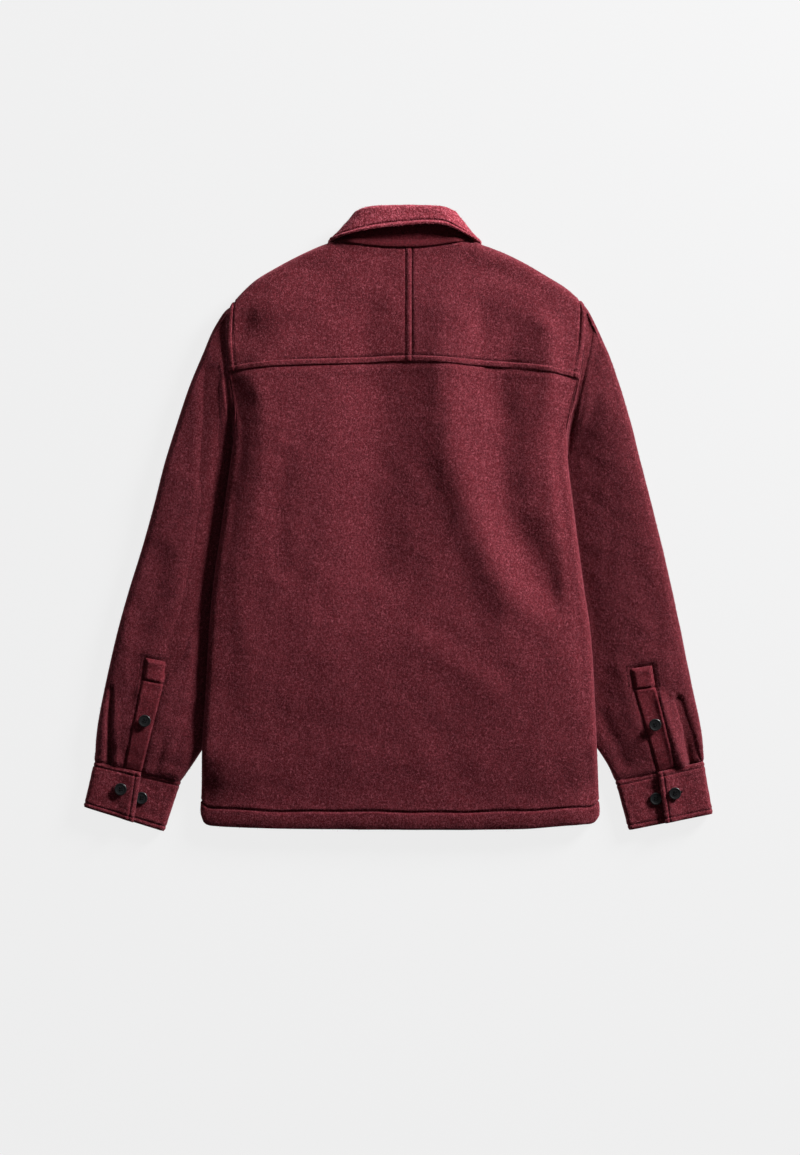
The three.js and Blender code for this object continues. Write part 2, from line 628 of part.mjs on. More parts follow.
// Height of the highest face of a grid over a place, for what lies on it
function heightOn(grid, x, y) {
  const triangle = new THREE.Triangle();
  const target = new THREE.Vector3();
  let height = -Infinity;
  const test = (a, b, c) => {
    triangle.set(point(a.x, a.y, 0), point(b.x, b.y, 0), point(c.x, c.y, 0));
    if (!triangle.containsPoint(point(x, y, 0)) || !triangle.getBarycoord(point(x, y, 0), target)) return;
    height = Math.max(height, a.z * target.x + b.z * target.y + c.z * target.z);
  };
  for (let i = 0; i < grid.length - 1; i++) {
    for (let j = 0; j < grid[0].length - 1; j++) {
      test(grid[i][j], grid[i][j + 1], grid[i + 1][j + 1]);
      test(grid[i][j], grid[i + 1][j + 1], grid[i + 1][j]);
    }
  }
  return height;
}

function placket(side) {
  const lengthSteps = [0, 4, 20];
  const acrossSteps = 4;
  const rows = [];
  for (let step = 0; step <= lengthSteps[2]; step++) {
    const part = step <= lengthSteps[1] ? 0 : 1;
    const t = (step - lengthSteps[part]) / (lengthSteps[part + 1] - lengthSteps[part]);
    const pick = (name) => PLACKET[side].slice(part, part + 2).map((row) => row[name]);
    const place = ([a, b]) => [mix(a[0], b[0], t), mix(a[1], b[1], t)];
    const [outer, inner] = [place(pick("outer")), place(pick("inner"))];
    rows.push(
      Array.from({ length: acrossSteps + 1 }, (_, k) => {
        const [x, y] = [mix(outer[0], inner[0], k / acrossSteps), mix(outer[1], inner[1], k / acrossSteps)];
        return point(x, y, heightOn(sleeves[side].outer, x, y) + ON_PANEL + PLACKET_HEIGHT);
      }),
    );
  }
  const under = rows.map((row) => row.map((p) => point(p.x, p.y, p.z - PLACKET_HEIGHT)));
  return { outer: rows, inner: under };
}

// Cuffs: one strip that starts on top, goes round the outer fold, along the bottom and back under its own start

function cuffPath(over) {
  const end = (far, middle, height) =>
    [60, 30, 0, -30, -60].map((degrees) => {
      const angle = radians(far ? degrees * -1 : degrees);
      const reach = middle * (1 - Math.cos(angle));
      return { share: far ? 1 : 0, shift: far ? -reach : reach, z: middle + (height - middle) * Math.sin(angle) };
    });
  const flat = (share, z) => ({ share, shift: 0, z });
  return [
    flat(over, CUFF_LIP),
    flat(over - 0.1, CUFF_LIP - 0.4),
    flat(over - 0.22, CUFF_HEIGHT),
    flat(0.2, CUFF_HEIGHT),
    flat(0.08, CUFF_HEIGHT - 0.2),
    ...end(false, CUFF_HEIGHT / 2, CUFF_HEIGHT),
    flat(0.08, 0),
    flat(0.3, 0),
    flat(0.6, 0),
    flat(0.9, 0),
    ...end(true, CUFF_UNDER / 2, CUFF_UNDER),
    flat(0.9, CUFF_UNDER),
    flat(0.7, CUFF_UNDER),
    flat(0.55, CUFF_UNDER),
    flat(0.42, CUFF_UNDER),
  ];
}

function cuffGrid(side) {
  const { top, bottom, over } = CUFF[side];
  const corner = (pair, k) => point(pair[k][0], pair[k][1], 0);
  return Array.from({ length: CUFF_ROWS + 1 }, (_, r) => {
    const t = r / CUFF_ROWS;
    const from = along(corner(top, 0), corner(bottom, 0), t);
    const to = along(corner(top, 1), corner(bottom, 1), t);
    const across = to.clone().sub(from).normalize();
    return cuffPath(mix(over[0], over[1], t)).map(({ share, shift, z }) => {
      const p = moved(from, across, share * from.distanceTo(to) + shift);
      p.z = z;
      return p;
    });
  });
}

const cuffs = { [LEFT]: cuffGrid(LEFT), [RIGHT]: cuffGrid(RIGHT) };

// Collar: both pieces have one section on each point of the neck seam

function neckFrames(side) {
  const yoke = yokes[side];
  const yokeNormals = normals(yoke, -side);
  const heads = yoke.slice(0, NECK_SECTIONS);
  const yokeEdge = edgeFrames(
    heads.map((column) => column.at(-1)),
    heads.map((column) => column.at(-2)),
    yokeNormals.slice(0, NECK_SECTIONS).map((column) => column.at(-1)),
  );
  const front = fronts[side];
  const frontNormals = normals(front, side);
  const from = SHARED_ROWS.length + FRONT_ROWS.findIndex((row) => row.inset === 0);
  const frontEdge = edgeFrames(
    front.slice(from).map((row) => row.at(-1)),
    front.slice(from).map((row) => row.at(-2)),
    frontNormals.slice(from).map((row) => row.at(-1)),
  ).reverse();
  return [...yokeEdge.slice(0, -1), between(yokeEdge.at(-1), frontEdge[0]), ...frontEdge.slice(1)];
}

function collarSections(side) {
  const frames = neckFrames(side);
  return COLLAR.map((section, k) => {
    const [y, leftX, rightX, z] = section.fold;
    const isLeft = side === LEFT;
    const split = k === 0 ? side * 0.01 : 0;
    const fold = point((isLeft ? leftX : rightX) + split, y, z);
    const free = isLeft ? section.left : section.right;
    const neck = moved(frames[k].at, frames[k].out, 2 * SEAM);
    const run = point(fold.x - neck.x, fold.y - neck.y, 0).normalize();
    const beside = point(-run.y * -side, run.x * -side, 0);
    const turn = radians(section.turn);
    const out = moved(point(0, 0, Math.sin(turn)), beside, Math.cos(turn)).normalize();
    const up = fold.clone().sub(neck);
    up.addScaledVector(out, -up.dot(out)).normalize();
    return { neck, fold, out, up, radius: section.radius, edge: point(free[0] + split, free[1], section.edge) };
  });
}

function standPoints({ neck, fold, out, up, radius }, depth) {
  const steps = 3;
  const top = moved(moved(fold, up, -(radius + COLLAR_LEG + 7 * SEAM)), out, COLLAR_CLOTH - radius);
  return Array.from({ length: steps + 1 }, (_, k) => moved(along(neck, top, k / steps), out, -depth));
}

function leafPoints({ fold, out, up, radius, edge }, depth) {
  const centre = moved(fold, up, -radius);
  const bend = radius - depth;
  const points = [moved(moved(centre, up, -COLLAR_LEG), out, -bend)];
  for (const degrees of [-90, -54, -18, 18, 54, 90]) {
    const angle = radians(degrees);
    points.push(moved(moved(centre, up, bend * Math.cos(angle)), out, bend * Math.sin(angle)));
  }
  const start = points.at(-1);
  const free = moved(edge, out, -depth);
  for (const share of [0.25, 0.5, 0.75, 1]) points.push(along(start, free, share));
  return points;
}

const collar = [...collarSections(LEFT).reverse(), ...collarSections(RIGHT).slice(1)];
const collarWall = (points) =>
  wall(
    collar.map((section) => points(section, 0)),
    collar.map((section) => points(section, COLLAR_CLOTH)),
  );

// Buttons

function buttonGeometry() {
  const profile = [
    [0, 0],
    [0.75, 0],
    [1, 0.3],
    [1, 0.75],
    [0.9, 1],
    [0.72, 0.94],
    [0.6, 0.72],
    [0, 0.72],
  ].map(([r, z]) => new THREE.Vector2(r * BUTTON_RADIUS, z * BUTTON_HEIGHT));
  return new THREE.LatheGeometry(profile, 16).rotateX(Math.PI / 2);
}

function highestUnder(grid, [x, y]) {
  let height = -Infinity;
  for (let k = 0; k < 8; k++) {
    const angle = (k * Math.PI) / 4;
    const [dx, dy] = [Math.cos(angle), Math.sin(angle)].map((c) => c * BUTTON_RADIUS * 0.8);
    height = Math.max(height, heightOn(grid, x + dx, y + dy), heightOn(grid, x, y));
  }
  return height;
}

// The object

const group = new THREE.Group();
group.name = "shacket";

function add(name, geometry, color, roughness = 0.95, metalness = 0) {
  const mesh = new THREE.Mesh(geometry, new THREE.MeshStandardMaterial({ color, roughness, metalness }));
  mesh.name = name;
  group.add(mesh);
  return mesh;
}

function addButton(name, [x, y], z, faceDown = false) {
  const geometry = buttonGeometry();
  if (faceDown) geometry.rotateX(Math.PI).translate(0, 0, BUTTON_HEIGHT);
  add(name, geometry.translate(x, y, z), BUTTON_BLACK, 0.45);
}

const cloth = () => CLOTH;
add("back", wall(back, inside(back, 1, bodyThickness)), WOOL);
for (const [side, name] of [[LEFT, "left"], [RIGHT, "right"]]) {
  const [yoke, front, sleeve] = [yokes[side], fronts[side], sleeves[side]];
  const strip = placket(side);
  const cuff = cuffs[side];
  add(`yoke_${name}`, wall(yoke, inside(yoke, -side, cloth)), WOOL);
  add(`front_${name}`, wall(front, inside(front, side, bodyThickness)), WOOL);
  add(`sleeve_${name}`, wall(sleeve.outer, sleeve.inner, true), WOOL);
  add(`sleeve_placket_${name}`, wall(strip.outer, strip.inner), WOOL);
  add(`cuff_${name}`, wall(cuff, inside(cuff, -side, () => CUFF_CLOTH)), WOOL);
  const onCuff = (place) => highestUnder(cuff, place) + ON_PANEL;
  addButton(`button_cuff_${name}`, CUFF_BUTTONS[side], onCuff(CUFF_BUTTONS[side]));
  addButton(`button_cuff_second_${name}`, SECOND_BUTTONS[side], CUFF_UNDER + SEAM);
  addButton(`button_placket_${name}`, PLACKET_BUTTONS[side], highestUnder(strip.outer, PLACKET_BUTTONS[side]) + SEAM);
}
add("collar_stand", collarWall(standPoints), STAND_WOOL);
add("collar_leaf", collarWall(leafPoints), WOOL);
FRONT_BUTTON_YS.forEach((y, k) => addButton(`button_front_${k + 1}`, [CENTRE_FRONT, y], 0.2, true));

export default group;
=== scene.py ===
import math

import bmesh
import bpy
import numpy as np
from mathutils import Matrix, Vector


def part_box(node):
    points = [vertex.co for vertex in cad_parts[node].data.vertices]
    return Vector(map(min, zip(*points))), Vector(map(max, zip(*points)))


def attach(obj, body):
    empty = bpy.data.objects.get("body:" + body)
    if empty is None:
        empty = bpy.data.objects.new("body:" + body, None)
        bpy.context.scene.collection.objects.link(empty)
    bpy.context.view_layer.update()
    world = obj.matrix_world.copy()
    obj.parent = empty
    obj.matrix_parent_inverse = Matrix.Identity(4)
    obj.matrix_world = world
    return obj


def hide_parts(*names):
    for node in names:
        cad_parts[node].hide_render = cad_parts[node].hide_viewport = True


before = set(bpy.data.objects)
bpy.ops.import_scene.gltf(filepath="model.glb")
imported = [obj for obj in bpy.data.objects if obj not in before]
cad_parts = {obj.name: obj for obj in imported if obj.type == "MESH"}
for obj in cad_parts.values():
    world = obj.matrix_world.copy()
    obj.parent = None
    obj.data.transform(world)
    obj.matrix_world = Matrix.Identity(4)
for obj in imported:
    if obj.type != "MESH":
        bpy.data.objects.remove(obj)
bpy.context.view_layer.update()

bl_info = {
    "name": "Felted Wool Shacket",
    "version": (1, 0, 0),
    "blender": (4, 5, 0),
    "location": "3D View > Sidebar > Shacket",
    "description": "Builds a wool shirt jacket that lies on its front, with its seams, stitches and nap",
    "category": "Object",
}

# Everything is worked out in millimetres and put into Blender's metres at the end
MM = 0.001
MM_PER_PIXEL = 1.28
PHOTO_ROWS = 1155

CLOTH = 2.6
CUFF_CLOTH = 3.0
COLLAR_CLOTH = 2.9
SEAM = 0.3
ON_PANEL = 0.45
TUCKED_IN = 0.5

CENTRE_BACK = 9.6
CENTRE_FRONT = 4
LAP = 17
BAND_LIFT = 3.4
LEAF_LIFT = 3.3
UNDERARM = 74
SIDE_SEAM = -35
HEM_FOOT = -396
YOKE_FOOT = 188
ARMHOLE_TOP = 271

TOPSTITCH_INSET = 8
COLLAR_STITCH_INSET = 5.5
EDGE_STITCH_INSET = 6.5
SMALL_STEP = 2.2
NECK_BAND = 7.0
NARROWEST_SHEET = 10.5 * MM
MOST_HAIRS = 49_000
HEM_STITCH_INSET = 23.5

LEFT = -1
RIGHT = 1
SIDES = {LEFT: "left", RIGHT: "right"}


def table(columns, rows):
    """Functions that read each other column by the first one, along a smooth line."""
    keys = [row[0] for row in rows]

    def slope(column, i):
        pairs = [(k, k + 1) for k in (i - 1, i) if 0 <= k < len(rows) - 1]
        rise = [(rows[b][column] - rows[a][column]) / (keys[b] - keys[a]) for a, b in pairs]
        if len(rise) == 1:
            return rise[0]
        before, after = rise
        return 0 if before * after <= 0 else 2 * before * after / (before + after)

    def reader(column):
        def read(key):
            if key <= keys[0]:
                return rows[0][column]
            if key >= keys[-1]:
                return rows[-1][column]
            i = next(k for k, row_key in enumerate(keys) if row_key > key) - 1
            span = keys[i + 1] - keys[i]
            t = (key - keys[i]) / span
            a, b = rows[i][column], rows[i + 1][column]
            da, db = slope(column, i) * span, slope(column, i + 1) * span
            return a + t * (da + t * (3 * (b - a) - 2 * da - db + t * (2 * (a - b) + da + db)))

        return read

    return {name: reader(column + 1) for column, name in enumerate(columns[1:])}


# Body sections: outermost x of both edge rolls, height of their underside, radius of the roll, and how far
# the middle of the back stands above them
BODY = table(
    ["y", "left", "right", "under", "roll", "dome"],
    [
        [-396, -252.6, 256.6, 0, 6.6, 5],
        [-350, -251.4, 255.2, 0.3, 7.2, 8.5],
        [-305, -250.3, 252.8, 9, 8.6, 2],
        [-218, -245, 249, 9, 9.6, 7.5],
        [-154, -241.8, 245, 9, 10, 10],
        [-90, -236.5, 236, 9, 10.2, 10],
        [-33, -228.4, 228.5, 9, 10.3, 10],
        [29, -219.8, 220.8, 9, 10.3, 10],
        [74, -213.5, 215.5, 9, 10.3, 10],
        [95, -210.9, 215, 8.6, 10.3, 10],
        [117, -210.4, 216.5, 7.8, 10.4, 10],
        [140, -214.5, 225, 6.6, 10.4, 10],
        [165, -219, 231.5, 5.4, 10.4, 10],
        [188, -222.7, 237, 4.6, 10.4, 10],
        [230, -226, 246, 3.6, 10.4, 9],
        [262, -226, 247, 3.3, 10.4, 8],
        [352, -226, 247, 3.3, 10.4, 2],
    ],
)
HEM = table(
    ["x", "y"],
    [
        [-253, -380],
        [-249, -387],
        [-241, -391.5],
        [-113, -395.5],
        [74, -396.5],
        [154, -395.5],
        [217, -391],
        [248, -388],
        [257, -380],
    ],
)
YOKE_SEAM = table(
    ["x", "y"],
    [[-214, 187], [-160, 193], [-50, 197], [10, 199.6], [104, 193.8], [181, 187.6], [229, 178]],
)
# Degrees round the edge roll at which the back ends in the armhole
ARMHOLE = table(["y", "turn"], [[74, -35], [95, -8], [117, 35], [140, 68], [165, 78], [188, 78]])
TUCKED = table(
    ["y", "left", "right"],
    [
        [-293, -249, 254],
        [-226, -218, 218],
        [-176, -203, 203],
        [-126, -190, 191],
        [-76, -182, 184],
        [-5, -183, 185],
        [42, -190, 193],
        [74, -195, 198],
    ],
)

# Yoke sections from the centre seam to the armhole: share of the way, end on the outline for the left and the
# right half, degrees turned down over the shoulder, degrees leaned outwards
YOKE = [
    (0.0, (10.1, 345), (9.1, 345), 0, 0),
    (0.1, (-13, 345.4), (33, 345.8), 0, 0),
    (0.2, (-40, 347.6), (56, 348.6), 0, 0),
    (0.3, (-64, 351.2), (76, 352), 0, 0),
    (0.36, (-78, 353), (91, 353.4), 60, 8),
    (0.4, (-86, 352.8), (100, 352.2), 130, 16),
    (0.44, (-94, 349.6), (108, 348.4), 190, 23),
    (0.58, (-124, 336.6), (135, 338.2), 190, 26),
    (0.72, (-155, 320.3), (162, 324.8), 190, 29),
    (0.84, (-182.7, 303.4), (190, 308.3), 190, 33),
    (0.92, (-199.8, 287.7), (213, 294), 190, 25),
    (1.0, (-214.4, 270.6), (236.2, 273), 190, -8),
]
NECK_SECTIONS = 7
NECK_RUN = 12

# Sleeve sections: outer end and inner end of each as y, left x, right x, then height near the edge and inside
SLEEVE = [
    ((262, -223.5, 244), (69, -211.5, 214), 20, 26),
    ((241, -236.5, 254.5), (62, -205.5, 208.5), 18, 26),
    ((212, -249, 267), (54, -198, 201), 17, 26),
    ((170, -266.5, 282), (42, -190, 193), 17, 25),
    ((122, -282.7, 296.5), (22, -185, 188), 17, 24),
    ((72, -298.3, 309), (-5, -183, 185), 17, 24),
    ((18, -312, 322.7), (-38, -181, 183), 17, 23),
    ((-38, -327.6, 337), (-76, -182, 184), 17, 23),
    ((-92, -344.4, 349.3), (-126, -190, 191.5), 17, 23),
    ((-142, -358.3, 360), (-176, -203, 203.5), 16, 23),
    ((-192, -370, 370), (-226, -218, 218), 16, 22),
    ((-236, -379.3, 379.7), (-264, -232.5, 233), 15, 22),
    ((-260, -383.6, 384.8), (-281, -242, 245), 15, 22),
    ((-280, -386.2, 388), (-300, -254, 258.5), 14, 21),
    ((-296, -387.2, 389.2), (-318, -266, 269.5), 13, 18),
    ((-308.6, -388.2, 389.6), (-334, -277.6, 277), 12, 14.5),
    ((-312.2, -387.4, 388.4), (-337.2, -280.5, 280), 10, 11),
]
TUCKED_HEIGHT = 8.2
TUCK_RUN = {LEFT: 30, RIGHT: 105}
SLEEVE_HEAD_DEPTH = {LEFT: 4, RIGHT: 8}
SETTLED_SECTION = 5

# Pleats at the cuff: side, share across at the cuff and at the top end, section where it dies out, height,
# width
PLEATS = [
    (LEFT, 0.17, 0.20, 11.5, -4, 0.035),
    (LEFT, 0.24, 0.27, 12, 2, 0.05),
    (RIGHT, 0.14, 0.20, 11, -5, 0.04),
    (RIGHT, 0.24, 0.36, 11, 2.5, 0.05),
]

# Where the pleats run on a sleeve, as distances round it from the hidden side of its outer edge
PLEAT_BAND = (34, 96)

# Soft ridges and troughs of the back and the yoke: the line they follow, height, half width
FOLDS = [
    ([(58, 180), (62, 114), (68, 75), (90, 0), (136, -105)], 7, 25),
    ([(64, 262), (62, 222)], 5, 30),
    ([(124, 180), (134, 114), (132, 75), (140, 0), (192, -90)], -8.5, 26),
    ([(112, 254), (118, 222)], -5, 24),
    ([(190, 240), (198, 114), (204, -10)], 5, 17),
    ([(-36, 272), (-34, 236)], -3, 34),
    ([(-28, 165), (-26, 75), (-26, -60)], -9, 46),
    ([(-160, 262), (-182, 160), (-194, 60), (-204, -30)], 4.5, 42),
    ([(-204, 238), (-190, 226)], -4.5, 17),
]

# Collar sections from centre back to centre front: direction out of the stand, radius of the fold, fold as
# y, left x, right x, z, then free edge of the leaf on the left and on the right and its height
COLLAR = [
    (90, 6.2, (398.2, 10, 10, 27), (10, 371.5), (10, 371.5), 35),
    (90, 6.2, (397.8, -13, 33, 27), (-13, 369.4), (36, 373.2), 35),
    (90, 6.0, (396.6, -36, 56, 26), (-45, 364.8), (60, 371.4), 34),
    (70, 5.6, (393.4, -48, 66, 21), (-70, 359.5), (84, 362), 29),
    (20, 4.8, (389, -51, 69.5, 15), (-86.6, 355.4), (102.5, 354), 18),
    (-40, 4.0, (383, -50, 68, 8.5), (-90, 355), (106, 354.5), 5),
    (-80, 3.4, (372, -45, 62, 4.4), (-90, 345), (105, 344), 0.2),
    (-90, 3.3, (357, -37, 51, 3.35), (-82, 325), (95, 325), 0.05),
    (-90, 3.3, (343, -28, 40, 3.35), (-77, 310), (89, 310), 0.05),
    (-90, 3.3, (329, -18, 28, 3.35), (-70, 294), (80, 294), 0.05),
    (-90, 3.3, (316, -8, 17, 3.35), (-60, 276), (69, 276), 0.05),
    (-90, 3.3, (306, 3.6, 4.4, 3.35), (-46, 257), (54, 257), 0.05),
]
COLLAR_LEG = 3

FRONT_ROWS = [
    (95, -LAP, 104),
    (125, -LAP, 146),
    (160, -LAP, 200),
    (200, -LAP, 261.6),
    (207, 0, 262.2),
    (216, 26, 266),
    (226, 52, 282),
    (237, 71, 302),
    (249, 83, 320),
]
BODY_ROWS = [-396, -373, -349, -327, -305, -275, -240, -205, -170, -135, -100, -65, -30, 5, 40, 74]
BACK_ROWS = [92, 112, 136, 160]

CUFF_CORNERS = {
    LEFT: (((-388.2, -309.4), (-277.6, -334.6)), ((-402, -367), (-299, -399)), (0.545, 0.622)),
    RIGHT: (((389.6, -309.4), (277, -334.6)), ((401.3, -376), (294, -397.4)), (0.527, 0.57)),
}
CUFF_HEIGHT = 15.4
CUFF_UNDER = 12
CUFF_LIP = 18.3

# Both ends of a placket strip's top edge, of the foot of its box and of its lower end
PLACKET = {
    LEFT: (
        ((-321.5, -177), (-295, -182.5)),
        ((-325.5, -204.8), (-298.5, -210.5)),
        ((-349.4, -317.4), (-327.4, -322.4)),
    ),
    RIGHT: (
        ((322.3, -187), (296, -191)),
        ((326.5, -213.8), (300, -218)),
        ((352.2, -317.2), (330.4, -322.0)),
    ),
}
PLACKET_HEIGHT = 2.2
BOX_SHARE = 0.2

STITCH_LENGTH = 3.1
STITCH_PAUSE = 0.9
STITCH_RADIUS = 0.38
STITCH_LIFT = 0.1
HAIR_LENGTH = (1.6, 4.2)
HAIR_WIDTH = 0.085

BUTTON_HEIGHT = 2.6
HOLE_RADIUS = 1.1
HOLE_FROM_MIDDLE = 2.1
HOLE_SPACING = 2.96


def mix(a, b, t):
    return a + (b - a) * t


def smooth(start, end, x):
    t = np.clip((x - start) / (end - start), 0, 1)
    return t * t * (3 - 2 * t)


def hump(distance, width):
    """Soft bump that is 1 in its middle and fades over its width."""
    return np.exp(-((distance / width) ** 2))


def point(x, y, z=0.0):
    """A place in millimetres, as an array."""
    return np.array([x, y, z], float)


def unit(v):
    return v / np.linalg.norm(v, axis=-1, keepdims=True)


def edge_x(side, y):
    """Outermost x of the body on one side."""
    return BODY["left"](y) if side == LEFT else BODY["right"](y)


def fold_height(x, y, folds):
    """Height of all folds at a place, each a smooth ridge or trough along its own line."""
    height = 0.0
    for line, top, width in folds:
        away = np.inf
        for (x0, y0), (x1, y1) in zip(line[:-1], line[1:]):
            dx, dy = x1 - x0, y1 - y0
            t = np.clip(((x - x0) * dx + (y - y0) * dy) / (dx * dx + dy * dy), 0, 1)
            away = np.minimum(away, np.hypot(x - x0 - dx * t, y - y0 - dy * t))
        height = height + top * hump(away, width)
    return height


def shoulder_y(x):
    """The y of the shoulder outline above a place."""
    side = 1 if x < CENTRE_BACK else 2
    previous = YOKE[0][side]
    for section in YOKE[1:]:
        end = section[side]
        if abs(end[0]) > abs(x):
            return mix(previous[1], end[1], (x - previous[0]) / (end[0] - previous[0]))
        previous = end
    return previous[1]


def risen(distance, run):
    """Share of its full height that cloth reaches at a distance from its edge."""
    return 1 - math.exp(-distance / run)


def top_z(x, y):
    """Top of the body: it rises from the edge rolls and the shoulder, slowly at the lower left."""
    roll = BODY["roll"](y)
    from_left = max(0, x - BODY["left"](y) - roll)
    from_right = max(0, BODY["right"](y) - roll - x)
    from_shoulder = max(0, shoulder_y(x) - roll - y)
    left_run = 70 - 34 * float(smooth(0, 90, y)) - 45 * float(smooth(-260, -320, y))
    rise = risen(from_left, left_run) * risen(from_right, 28) * risen(from_shoulder, 40)
    fold = fold_height(x, y, FOLDS) * smooth(0, 30, min(from_left, from_right, from_shoulder))
    return BODY["under"](y) + 2 * roll + BODY["dome"](y) * rise + fold


def lower_z(side, x, y):
    """Underside of the body, before the laps of the fronts."""
    tucked = TUCKED[SIDES[side]](y)
    over_sleeve = BODY["under"](y) * (1 - smooth(8, 40, side * (tucked - x)))
    return max(over_sleeve, LEAF_LIFT * smooth(205, 246, y))


def front_z(side, x, y):
    """Underside of one front, which rises under or over the lap of the other."""
    band = mix(0.4, BAND_LIFT, smooth(-345, -280, y))
    if side == LEFT:
        below = lower_z(LEFT if x < CENTRE_FRONT else RIGHT, x, y)
        return max(below, band * (1 - smooth(19, 48, abs(x - CENTRE_FRONT))))
    hem = 1.0 * (1 - smooth(-370, -330, y))
    over_lap = 1 - smooth(LAP + 18, LAP + 60, x - CENTRE_FRONT)
    return max(lower_z(RIGHT, x, y), (band + CLOTH + hem + ON_PANEL) * over_lap)


def roll_point(side, degrees, y):
    """Point on the edge roll of one side, 0 sideways and 90 on top."""
    roll, angle = BODY["roll"](y), math.radians(degrees)
    x = edge_x(side, y) - side * roll * (1 - math.cos(angle))
    return point(x, y, BODY["under"](y) + roll * (1 + math.sin(angle)))


def shared_y(x, row):
    """The y of a place in a row, between the curved hem and the straight line at the underarm."""
    return mix(HEM["y"](x), UNDERARM, (row - HEM_FOOT) / (UNDERARM - HEM_FOOT))


def back_grid():
    """The back from edge roll to edge roll, and above the underarm from armhole to armhole."""
    roll_steps, top_steps = 8, 28
    grid = []
    for row in [*BODY_ROWS, *BACK_ROWS, YOKE_FOOT]:
        start = SIDE_SEAM if row <= UNDERARM else ARMHOLE["turn"](row)

        def place(x):
            if row <= UNDERARM:
                return shared_y(x, row)
            return mix(UNDERARM, YOKE_SEAM["y"](x) - SEAM / 2, (row - UNDERARM) / (YOKE_FOOT - UNDERARM))

        def turned(side, k):
            rough = roll_point(side, mix(start, 90, k / roll_steps), row)
            return point(rough[0], place(rough[0]), rough[2])

        first, last = roll_point(LEFT, 90, row), roll_point(RIGHT, 90, row)
        points = [turned(LEFT, k) for k in range(roll_steps)]
        for k in range(top_steps + 1):
            x = mix(first[0], last[0], k / top_steps)
            z = first[2] if k in (0, top_steps) else top_z(x, place(x))
            points.append(point(x, place(x), z))
        points += [turned(RIGHT, k) for k in reversed(range(roll_steps))]
        grid.append(points)
    return np.array(grid)


def yoke_grid(side):
    """Half of the yoke, from its seam up over the shoulder to the seam with the front."""
    flat_steps, turn_steps = 8, 10
    start = CENTRE_BACK - side * TUCKED_IN
    armhole_x = roll_point(side, 78, YOKE_FOOT)[0]
    grid = []
    for share, left, right, turn, lean in YOKE:
        end = left if side == LEFT else right
        angle = math.radians(lean)
        out = point(side * math.sin(angle), math.cos(angle))
        x = mix(start, armhole_x, share)
        foot, tip = point(x, YOKE_SEAM["y"](x) - TUCKED_IN), point(*end)
        radius = BODY["roll"](end[1])
        for _ in range(4):
            guess = tip - out * radius
            radius = (top_z(guess[0], guess[1]) - LEAF_LIFT) / 2
        run = max(NECK_RUN, radius * mix(1, 2.2, smooth(130, 0, turn)) * math.radians(turn))
        bend = math.radians(max(turn, 0.01)) / run
        reach = math.sin(min(math.radians(turn), math.pi / 2)) / bend if turn > 0 else NECK_RUN
        head = tip - out * reach
        bow = 3 * side * smooth(0.8, 1, share)
        points = []
        for k in range(flat_steps + 1):
            p = mix(foot, head, k / flat_steps)
            p[0] += bow * math.sin(math.pi * k / flat_steps)
            p[2] = top_z(p[0], p[1])
            points.append(p)
        top = points[-1][2]
        for k in range(1, turn_steps + 1):
            turned = bend * run * k / turn_steps
            p = head + out * math.sin(turned) / bend
            p[2] = top - (1 - math.cos(turned)) / bend
            points.append(p)
        grid.append(points)
    return np.array(grid)


def shoulder_seam(yoke):
    ends = yoke[NECK_SECTIONS - 1 :, -1][::-1]
    halves = [p for a, b in zip(ends[:-1], ends[1:]) for p in ((a + b) / 2, b)]
    return np.array([ends[0], *halves]) - point(0, SEAM)


def front_grid(side, yoke):
    """One front, from the side seam under the edge roll to the middle, and up to the shoulder seam."""
    roll_steps = 6
    seam = shoulder_seam(yoke)
    tip, corner = seam[0], seam[-1]
    shares = (seam[:, 0] - tip[0]) / (corner[0] - tip[0])
    gap = math.degrees(1.6 * SEAM / BODY["roll"](0))
    grid = []
    for armhole, inset, inner_y in [(row, -LAP, None) for row in BODY_ROWS] + FRONT_ROWS:
        start = mix(SIDE_SEAM - gap, -88, smooth(UNDERARM, 125, armhole))
        inner_x = CENTRE_FRONT + side * inset
        flat_from = edge_x(side, armhole) - side * BODY["roll"](armhole)
        height = (armhole - UNDERARM) / (tip[1] - UNDERARM)

        def place(x, k):
            if inner_y is None:
                return shared_y(x, armhole)
            above_straight = seam[k][1] - mix(tip[1], corner[1], shares[k])
            return mix(armhole, inner_y, shares[k]) + above_straight * height**2

        points = []
        for k in range(roll_steps):
            p = roll_point(side, mix(start, -90, k / roll_steps), armhole)
            points.append(point(p[0], place(p[0], 0), p[2]))
        for k, share in enumerate(shares):
            x = mix(flat_from, inner_x, share)
            z = roll_point(side, -90, armhole)[2] if k == 0 else front_z(side, x, place(x, k))
            points.append(point(x, place(x, k), z))
        grid.append(points)
    roll_end = [tip + point(side * 0.1 * (roll_steps - k), 0) for k in range(roll_steps)]
    grid.append([*roll_end, *seam])
    return np.array(grid)


# Cloth from grids


def tangents(grid, axis):
    line = np.moveaxis(grid, axis, 0)
    result = np.empty_like(line)
    result[1:-1] = line[2:] - line[:-2]
    result[0] = -3 * line[0] + 4 * line[1] - line[2]
    result[-1] = 3 * line[-1] - 4 * line[-2] + line[-3]
    return np.moveaxis(result, 0, axis)


def ring_tangents(grid):
    return np.roll(grid, -1, axis=1) - np.roll(grid, 1, axis=1)


def normals(grid, sign, ring=False):
    across = ring_tangents(grid) if ring else tangents(grid, 1)
    return unit(np.cross(across, tangents(grid, 0))) * sign


